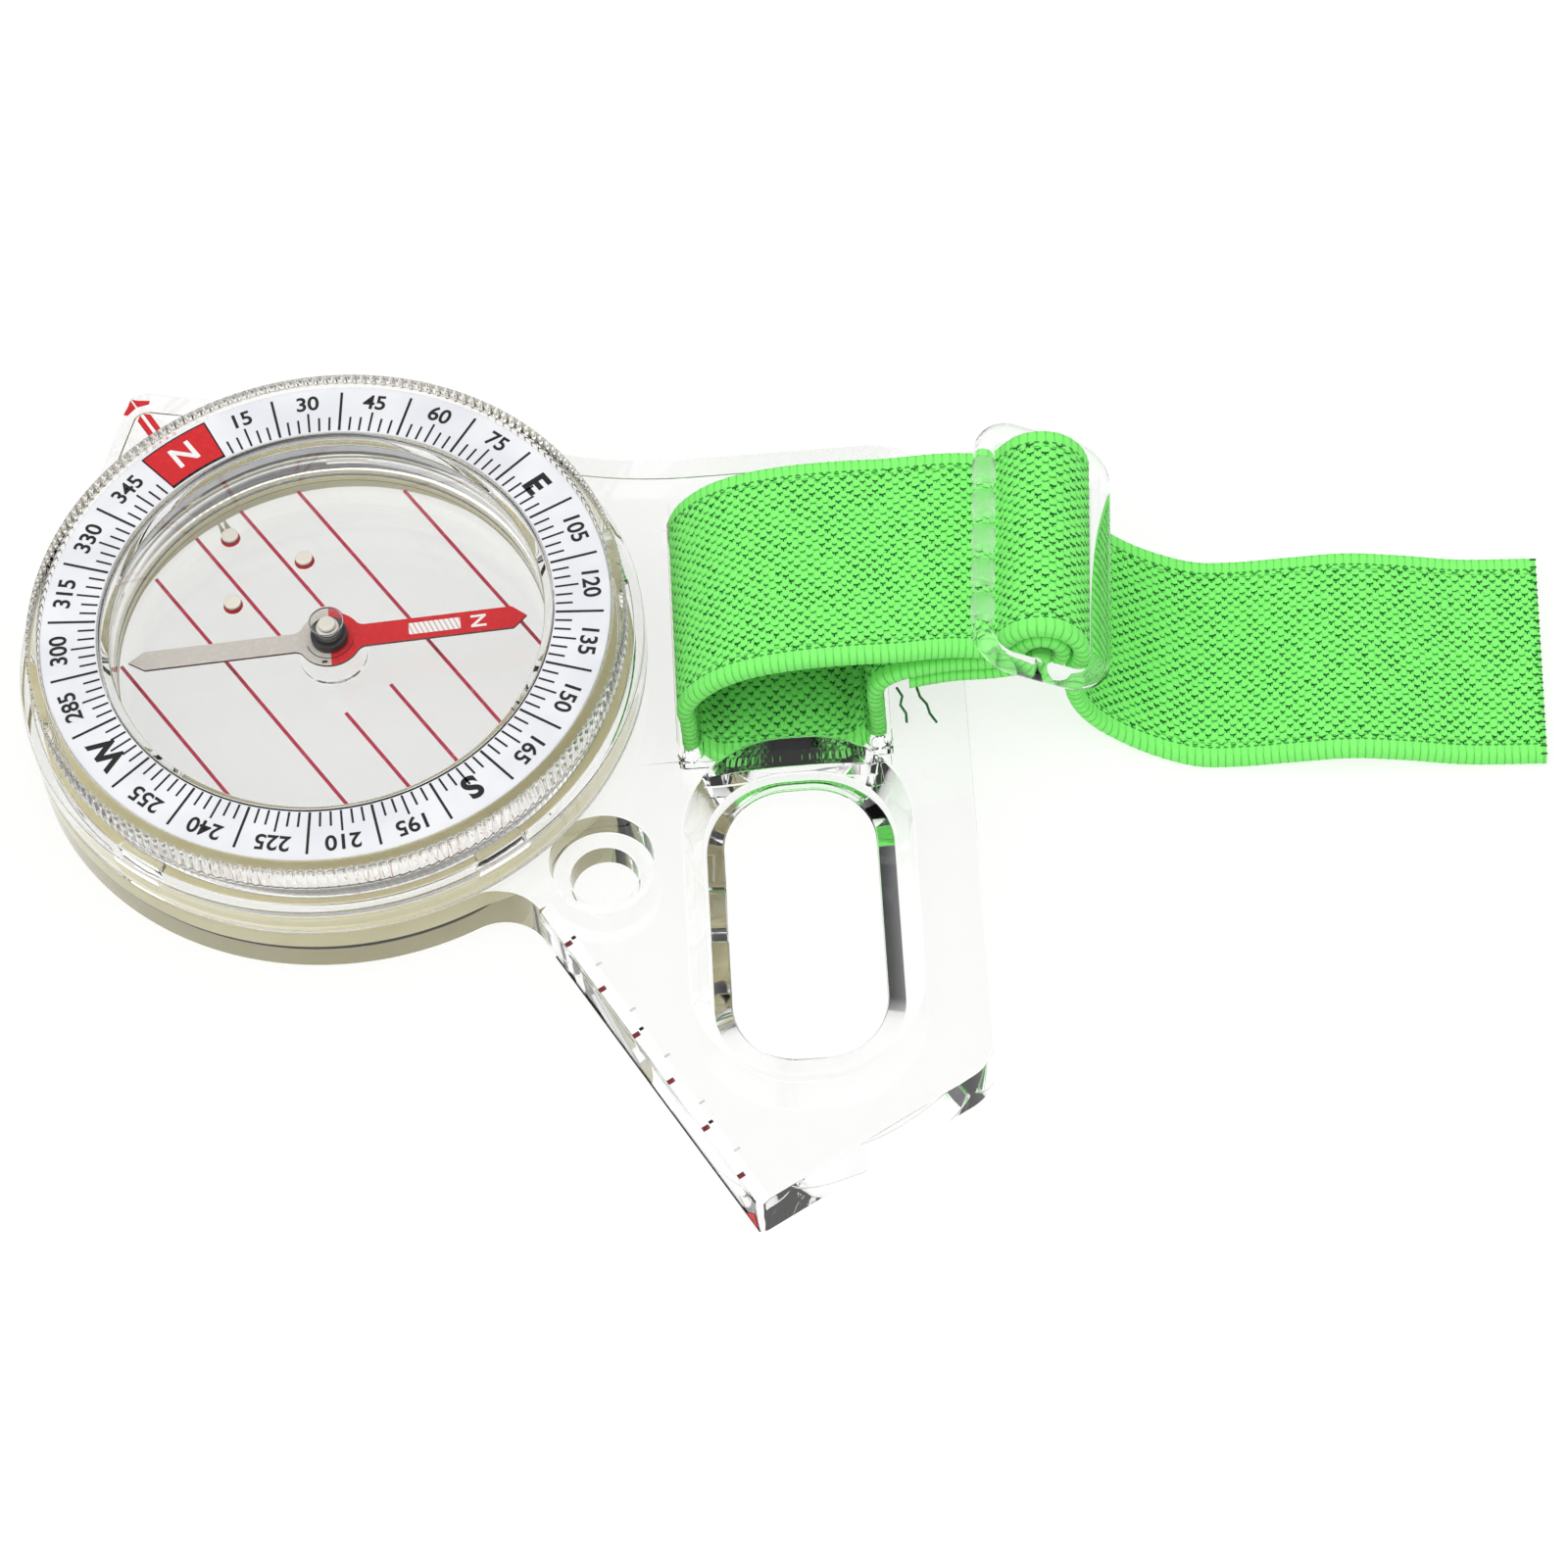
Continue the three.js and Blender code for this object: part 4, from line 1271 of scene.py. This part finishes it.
def ringedGlass(name, foot, lines):
    # Pale glass with painted shade: dark rings at its grooves and rims, and a dark foot, where the clear
    # jewel looks dark.
    def build(g):
        x, y, z = g.parts(g.here())
        fromAxis = g.math("SQRT", x * x + y * y)
        # dark is painted shade: the foot beyond the rims, then a line at each groove and rim height
        dark = g.steps(fromAxis, 0.87 * mm, 0.93 * mm)
        for line in lines:
            fromLine = g.math("ABSOLUTE", z - (foot + line) * mm)
            dark = g.math("MAXIMUM", dark, 1 - g.steps(fromLine, 0.03 * mm, 0.08 * mm))
        return g.skin({
            "Base Color": g.mix(dark, rgb(0.74, 0.70, 0.62), rgb(0.012, 0.01, 0.01)),
            "Roughness": 0.12 + dark * 0.3,
        })

    return newMaterial(name, build)


jewelGlass = ringedGlass("jewel_glass_painted_shade", span("jewel_cap")[0].z, (0.02, 0.4, 0.92))
boneInk = inkPaint("needle_bone", rgb(0.56, 0.52, 0.47), rgb(0.63, 0.59, 0.54))
edgeInk = inkPaint("blade_edge", rgb(0.10, 0.05, 0.05), rgb(0.2, 0.12, 0.11))
windowInk = hatchedInk("hatched_white", rgb(0.88, 0.87, 0.85), rgb(0.62, 0.40, 0.38))
makeBlade()
makeNeedleMarks()
makeMagnet()
makeJewel()
print("needle made")


# ---- strap: one band from its sewn end, round the buckle, under the plate and over the thumb

strap = {
    "width": 19.7,
    "thickness": 1.25,
    "gap": 0.2,
    "turn": 1.0,
    "bar": 0.85,
    "buckleTurn": 4.5,
    "drift": -3.3,
    "flare": 1.6,  # how far each edge spreads where the band lies slack under the plate
    "press": 0.2,  # how far its stitches rise there, against the plate
    "station": 0.225,
    "ridge": 0.045,  # height of the stitches
    "edgeRidge": 0.05,
    "scallop": 0.05,
}


def aroundBar(radius, start, end, count):
    points = [polar(radius, start + (end - start) * i / count) for i in range(count + 1)]
    return [(barX + p.x, barZ + p.y) for p in points]


def strapRoute():
    left, right = plate["slots"]
    half, bend = strap["thickness"] / 2, strap["turn"]
    under = strap["gap"] + half
    wrap = strap["bar"] + strap["gap"] + half
    over = wrap + strap["thickness"] + strap["gap"]

    def corner(x, start, end):
        points = [polar(bend, start + (end - start) * i / 3) for i in range(4)]
        return [(x + p.x, under + bend + p.y) for p in points]

    route = [(46.4, 8.7), (50, 8.7), (53, 8.75), (55.5, 9.25)]
    route += aroundBar(wrap, -110, 140, 9)
    route += [(55.4, 11.3), (54.3, 10.45), (53, 10.2), (50, 10.15), (47, 10.15), (45.3, 9.8), (44.1, 8.9)]
    route += [(right, 7.5), (right, 5.2), (right, 3)]
    route += corner(right - bend, 360, 270) + corner(left + bend, 270, 180)
    route += [(left, 3), (left, 5.2), (left - 0.1, 7), (left + 0.7, 8.7), (30.9, 10.5), (32.7, 11.5)]
    route += [(34.8, 12.15), (38.1, 12.6), (41.5, 12.68), (45, 12.55), (48.5, 12.25), (50.5, 12)]
    route += [(52, 11.8), (53.1, 11.75), (54.2, 12.2)]
    route += aroundBar(over, 145, -20, 8)
    route += [(60.3, 9.2), (60.15, 7.4), (60.2, 5.6), (60.8, 3.8), (62.1, 2.1), (64.4, 1.0), (68, half)]
    route += [(73, half), (77.5, 1.2), (82, 1.7), (86.5, 1.3), (91, half), (97.5, half)]
    return [Vector(p) for p in route]


def smoothLine(points, pieces=14):
    # A centripetal Catmull-Rom line through the points.
    ends = [2 * points[0] - points[1]] + points + [2 * points[-1] - points[-2]]
    line = []
    for i in range(1, len(ends) - 2):
        p = ends[i - 1:i + 3]
        knots = [0.0]
        for a, b in zip(p, p[1:]):
            knots.append(knots[-1] + math.sqrt((b - a).length))
        for j in range(pieces):
            t = knots[1] + (knots[2] - knots[1]) * j / pieces
            level = p
            for depth in (1, 2, 3):
                spans = [(knots[k], knots[k + depth]) for k in range(4 - depth)]
                if depth == 3:
                    spans = [(knots[1], knots[2])]
                level = [
                    (a * (high - t) + b * (t - low)) / (high - low)
                    for a, b, (low, high) in zip(level, level[1:], spans)
                ]
            line.append(level[0])
    return line + [points[-1]]


def evenly(line, step):
    # The line's points at equal distances, with the direction at each.
    lengths = [0.0]
    for a, b in zip(line, line[1:]):
        lengths.append(lengths[-1] + (b - a).length)
    count = round(lengths[-1] / step)
    made, k = [], 0
    for i in range(count + 1):
        want = lengths[-1] * i / count
        while k < len(lengths) - 2 and lengths[k + 1] < want:
            k += 1
        share = (want - lengths[k]) / max(lengths[k + 1] - lengths[k], 1e-9)
        made.append((line[k].lerp(line[k + 1], min(share, 1)), want))
    directions = []
    for i in range(len(made)):
        directions.append((made[min(i + 1, count)][0] - made[max(i - 1, 0)][0]).normalized())
    return [(p, d, s) for (p, s), d in zip(made, directions)], lengths[-1]


def smoothStep(value, low, high):
    t = min(max((value - low) / (high - low), 0), 1)
    return t * t * (3 - 2 * t)


def layDown(x, y, z):
    # The strap swings round as it nears the buckle, and its free end drifts to the side.
    swing = math.sin(math.radians(strap["buckleTurn"])) * smoothStep(x, 45, 53)
    drift = strap["drift"] * smoothStep(x, 59, 71)
    return (x + (y - strapMiddle) * swing, y - (x - barX) * swing + drift, z)


def strapSection():
    # Places across the band as (across, face): up one face, round the edge and back along the other.
    half = strap["width"] / 2
    edge = strap["thickness"] / 2
    flat = half - edge * 0.8
    count = 80
    top = [(-flat + 2 * flat * i / count, 1.0) for i in range(count + 1)]
    turns = [math.radians(d) for d in (36, 72, 108, 144)]
    rim = [(flat + edge * 0.8 * math.sin(a), math.cos(a)) for a in turns]
    bottom = [(u, -1.0) for u, _ in reversed(top[::2])]
    return top + rim + bottom + [(-u, f) for u, f in reversed(rim)]


def relief(u, v):
    # Height of the knitting above the band's plain face.
    half = strap["width"] / 2
    toEdge = half - abs(u)
    if toEdge < knit["edge"]:
        return strap["edgeRidge"] * math.cos(2 * math.pi * v / knit["rib"]) * smoothStep(toEdge, 0, 0.3)
    fade = smoothStep(toEdge, knit["edge"], knit["edge"] + 0.4)
    odd = math.cos(math.pi * v / knit["along"])
    return strap["ridge"] * fade * odd * math.cos(2 * math.pi * u / knit["across"])


def makeStrap():
    stations, length = evenly(smoothLine(strapRoute()), strap["station"])
    section = strapSection()
    half = strap["thickness"] / 2
    left, right = plate["slots"]
    vertices, weave = [], []
    for spot, direction, along in stations:
        scallop = strap["scallop"] * math.cos(2 * math.pi * along / knit["rib"])
        slack = smoothStep(spot.x, left + 0.2, left + 2.6)
        slack *= 1 - smoothStep(spot.x, right - 2.6, right - 0.2)
        slack = slack if spot.y < 2 else 0
        for u, face in section:
            toEdge = strap["width"] / 2 - abs(u)
            wide = u + math.copysign(scallop, u) * (1 - smoothStep(toEdge, 0, 0.7))
            wide *= 1 + slack * strap["flare"] / (strap["width"] / 2)
            height = face * half
            if abs(face) == 1.0:
                height += face * relief(u, along)
            if face * direction.x > 0:
                height += math.copysign(slack * strap["press"], face)
            x, z = spot.x - direction.y * height, spot.y + direction.x * height
            vertices.append(layDown(x, strapMiddle + wide, z))
            weave.append((u, along, 0.0))
    count = len(section)
    last = (len(stations) - 1) * count
    faces = [list(range(count)), list(reversed(range(last, last + count)))]
    for i in range(len(stations) - 1):
        for j in range(count):
            k = (j + 1) % count
            faces.append([i * count + j, (i + 1) * count + j, (i + 1) * count + k, i * count + k])
    piece = newPiece("strap_band", vertices, faces, [elastic])
    woven = piece.data.attributes.new("weave", "FLOAT_VECTOR", "POINT")
    woven.data.foreach_set("vector", [value for spot in weave for value in spot])
    piece.data.shade_smooth()
    stands = ["strap_under_run", "strap_thumb_arch", "strap_anchor_loop", "strap_free_end"]
    place(piece, "plate", stands)
    print("strap length", round(length, 1), "mm,", len(piece.data.polygons), "faces")
    return piece, length


barX, barZ = barCentre.x, barCentre.z
elastic = knittedElastic("green_elastic", strap["width"] / 2)
band, strapLength = makeStrap()


threads = {
    "radius": 0.11,
    "tails": [  # loose ends where the band is sewn back on itself
        [(45.3, -8.3, 8.0), (45.7, -9.1, 7.9), (45.5, -9.6, 7.4), (45.9, -10.1, 6.9), (45.9, -10.6, 6.3)],
        [(46.9, -8.4, 8.0), (47.1, -9.2, 7.8), (47.6, -9.7, 7.4), (47.8, -10.3, 6.9), (48.3, -10.8, 6.3)],
    ],
    "frayed": 26,
    "frayedSize": (0.5, 0.11, 0.11),
}


def makeThreads():
    tails = [tube("thread", points, threads["radius"], 6) for points in threads["tails"]]
    inked("thread_tails", tails, threadGreen, "plate")
    half = strap["width"] / 2 - 0.4
    count = threads["frayed"]
    first = layDown(strapEnd.x - 0.2, strapMiddle - half, strapEnd.y + 0.66)
    last = layDown(strapEnd.x - 0.2, strapMiddle + half, strapEnd.y + 0.66)
    step = [(b - a) / (count - 1) for a, b in zip(first, last)]
    turn = math.degrees(math.atan2(step[1], step[0])) - 90
    row("frayed_threads", count, first, step, turn, threads["frayedSize"], threadGreen, "plate", "elastic")


threadGreen = inkPaint("dark_green_thread", rgb(0.005, 0.10, 0.012), rgb(0.02, 0.25, 0.03), 0.8)
strapEnd = strapRoute()[-1]
makeThreads()


# ---- buckle: round bars in a rounded frame, frosted in five bands along one outer bar

buckle = {
    "bar": 0.85,
    "frame": 0.87,  # radius of the frame round the bars
    "spacing": 5.2,
    "slope": 27,
    "corner": 2.6,
    "barFrom": 4.1,  # distance from the middle beyond which the banded bar starts
    "bands": 5,
    "bandLength": 1.9,
    "bandPitch": 3.35,
    "bandRise": 0.06,
}


def buckleTransform():
    lean = Matrix.Rotation(math.radians(buckle["slope"]), 4, "Y")
    turn = Matrix.Rotation(-math.radians(strap["buckleTurn"]), 4, "Z")
    return Matrix.Translation(Vector((barX, strapMiddle, barZ)) * mm) @ turn @ lean


def roundTube(name, loop, radius, sides, closed=True):
    # A round bar along a flat loop of points, or along an open line with flat ends.
    count = len(loop)
    vertices = []
    for i, spot in enumerate(loop):
        before = loop[i - 1] if closed or i > 0 else spot
        after = loop[(i + 1) % count] if closed or i < count - 1 else spot
        ahead = (after - before).normalized()
        side = Vector((-ahead.y, ahead.x, 0))
        for j in range(sides):
            turn = 2 * math.pi * j / sides
            across = side * (radius * math.cos(turn))
            vertices.append(spot.to_3d() + across + Vector((0, 0, radius * math.sin(turn))))
    faces = []
    for i in range(count if closed else count - 1):
        for j in range(sides):
            a, b = i * sides, ((i + 1) % count) * sides
            k = (j + 1) % sides
            faces.append([a + j, b + j, b + k, a + k])
    if not closed:
        faces.append(list(range(sides)))
        faces.append(list(reversed(range((count - 1) * sides, count * sides))))
    return faceOutwards(newPiece(name, vertices, faces))


def frostedBands(g, here):
    # 1 on the frosted bands of the buckle's upper outer bar.
    alongX, alongY = buckleTransform().inverted()[:2]
    x = g.dot(here, tuple(alongX[:3])) + alongX[3]
    y = g.dot(here, tuple(alongY[:3])) + alongY[3]
    onBar = g.steps(x, -buckle["barFrom"] * mm, (-buckle["barFrom"] - 0.3) * mm)
    reach = buckle["bands"] * buckle["bandPitch"] / 2 * mm
    within = 1 - g.steps(g.math("ABSOLUTE", y), reach - 0.2 * mm, reach)
    phase = g.math("FRACT", y / (buckle["bandPitch"] * mm) + 0.5)
    share = buckle["bandLength"] / buckle["bandPitch"] / 2
    return onBar * within * (1 - g.steps(g.math("ABSOLUTE", phase - 0.5), share - 0.03, share + 0.03))


def makeBuckle():
    rail = strap["width"] / 2 + 0.45 + buckle["bar"]
    loop = roundedLoop(0, 0, 2 * buckle["spacing"], 2 * rail, buckle["corner"], 10)
    piece = roundTube("clear_buckle", loop, buckle["frame"], 28)
    middle = [Vector((0, -rail + rail * 2 * i / 8)) for i in range(9)]
    combine(piece, "UNION", roundTube("tool", middle, buckle["bar"], 28, closed=False))
    soft = piece.modifiers.new("joints", "REMESH")
    soft.mode, soft.voxel_size = "VOXEL", 0.11 * mm
    smooth = piece.modifiers.new("smooth", "SMOOTH")
    smooth.factor, smooth.iterations = 0.5, 8
    settle(piece)
    share = buckle["bandLength"] / buckle["bandPitch"] / 2
    reach = buckle["bands"] * buckle["bandPitch"] / 2
    for vertex in piece.data.vertices:
        x, y = vertex.co.x / mm, vertex.co.y / mm
        phase = (y / buckle["bandPitch"] + 0.5) % 1 - 0.5
        if x < -buckle["barFrom"] and abs(y) < reach:
            rise = buckle["bandRise"] * (1 - smoothStep(abs(phase), share - 0.05, share + 0.05))
            out = Vector((x + buckle["spacing"], 0, vertex.co.z / mm))
            vertex.co += out.normalized() * rise * mm
    piece.data.transform(buckleTransform())
    piece.data.materials.clear()
    piece.data.materials.append(clearPlastic("clear_buckle_plastic", frosted=frostedBands))
    piece.data.shade_smooth()
    place(piece, "buckle", ["buckle"])
    print("buckle made,", len(piece.data.polygons), "faces")


makeBuckle()


# ---- floor and light

studio = {
    "floorSize": 4.0,
    "floorColour": rgb(0.22, 0.22, 0.22),
    "floorGlow": rgb(1.0, 1.0, 0.985),  # a light table, so that clear plastic on it stays bright
    "floorStrength": 0.8,
    "horizon": rgb(0.06, 0.06, 0.065),
    "zenith": rgb(1.0, 1.0, 1.0),
    "worldStrength": 1.02,
    # A dark card overhead: the way to it, the cosines of its soft edge, and its share of light.
    "card": ((-0.024, 0.545, 0.838), 0.955, 0.985, 0.12),
    "aim": (0.035, -0.01, 0),  # what the lamps point at, in metres
    "lamps": {  # position, size and power
        "key": ((-0.25, -0.15, 0.8), 0.9, 1.75),
        "fill": ((0.6, -0.3, 0.6), 0.6, 0.3),
        "back": ((0.1, 0.7, 0.5), 0.5, 0.3),
    },
}


def makeFloor():
    size = studio["floorSize"] / 2 / mm
    corners = [(-size, -size, -0.05), (size, -size, -0.05), (size, size, -0.05), (-size, size, -0.05)]

    def build(g):
        paper = g.noise(g.here(), 700, 3)
        return g.skin({
            "Base Color": g.mix(paper * 0.5, studio["floorColour"], rgb(0.20, 0.20, 0.20)),
            "Roughness": 0.75 + paper * 0.1,
            "Specular IOR Level": 0.1,
            "Emission Color": studio["floorGlow"],
            "Emission Strength": studio["floorStrength"],
        })

    table = newMaterial("pale_floor", build)
    table.cycles.emission_sampling = "NONE"
    floor = newPiece("floor", corners, [(0, 1, 2, 3)], [table])


def makeWorld():
    world = bpy.data.worlds.new("studio")
    bpy.context.scene.world = world
    world.use_nodes = True
    world.node_tree.nodes.clear()
    g = Graph(world.node_tree)
    direction = g.node("ShaderNodeTexCoord", {}, {}, "Generated")
    _, _, height = g.parts(direction)
    sky = g.mix(g.steps(height, 0.1, 0.5), studio["horizon"], studio["zenith"])
    where, edge, full, share = studio["card"]
    toCard = g.dot(direction, where)
    sky = g.mix(g.steps(toCard, edge, full), sky, rgb(share, share, share))
    light = g.node("ShaderNodeBackground", {}, {"Color": sky, "Strength": studio["worldStrength"]})
    g.node("ShaderNodeOutputWorld", {}, {"Surface": light})


def makeLamps():
    for name, (position, size, power) in studio["lamps"].items():
        data = bpy.data.lights.new(name, "AREA")
        data.shape, data.size, data.energy = "DISK", size, power
        turn = (Vector(studio["aim"]) - Vector(position)).to_track_quat("-Z", "Y")
        addObject(name, data).matrix_world = Matrix.Translation(position) @ turn.to_matrix().to_4x4()


makeFloor()
makeWorld()
makeLamps()
bpy.context.scene.view_settings.view_transform = "Standard"
cycles = bpy.context.scene.cycles
cycles.transparent_max_bounces, cycles.transmission_bounces, cycles.max_bounces = 32, 24, 24
cycles.caustics_refractive, cycles.caustics_reflective = True, False
print("studio made")

flat = (0.02, round(strapLength * mm, 4))
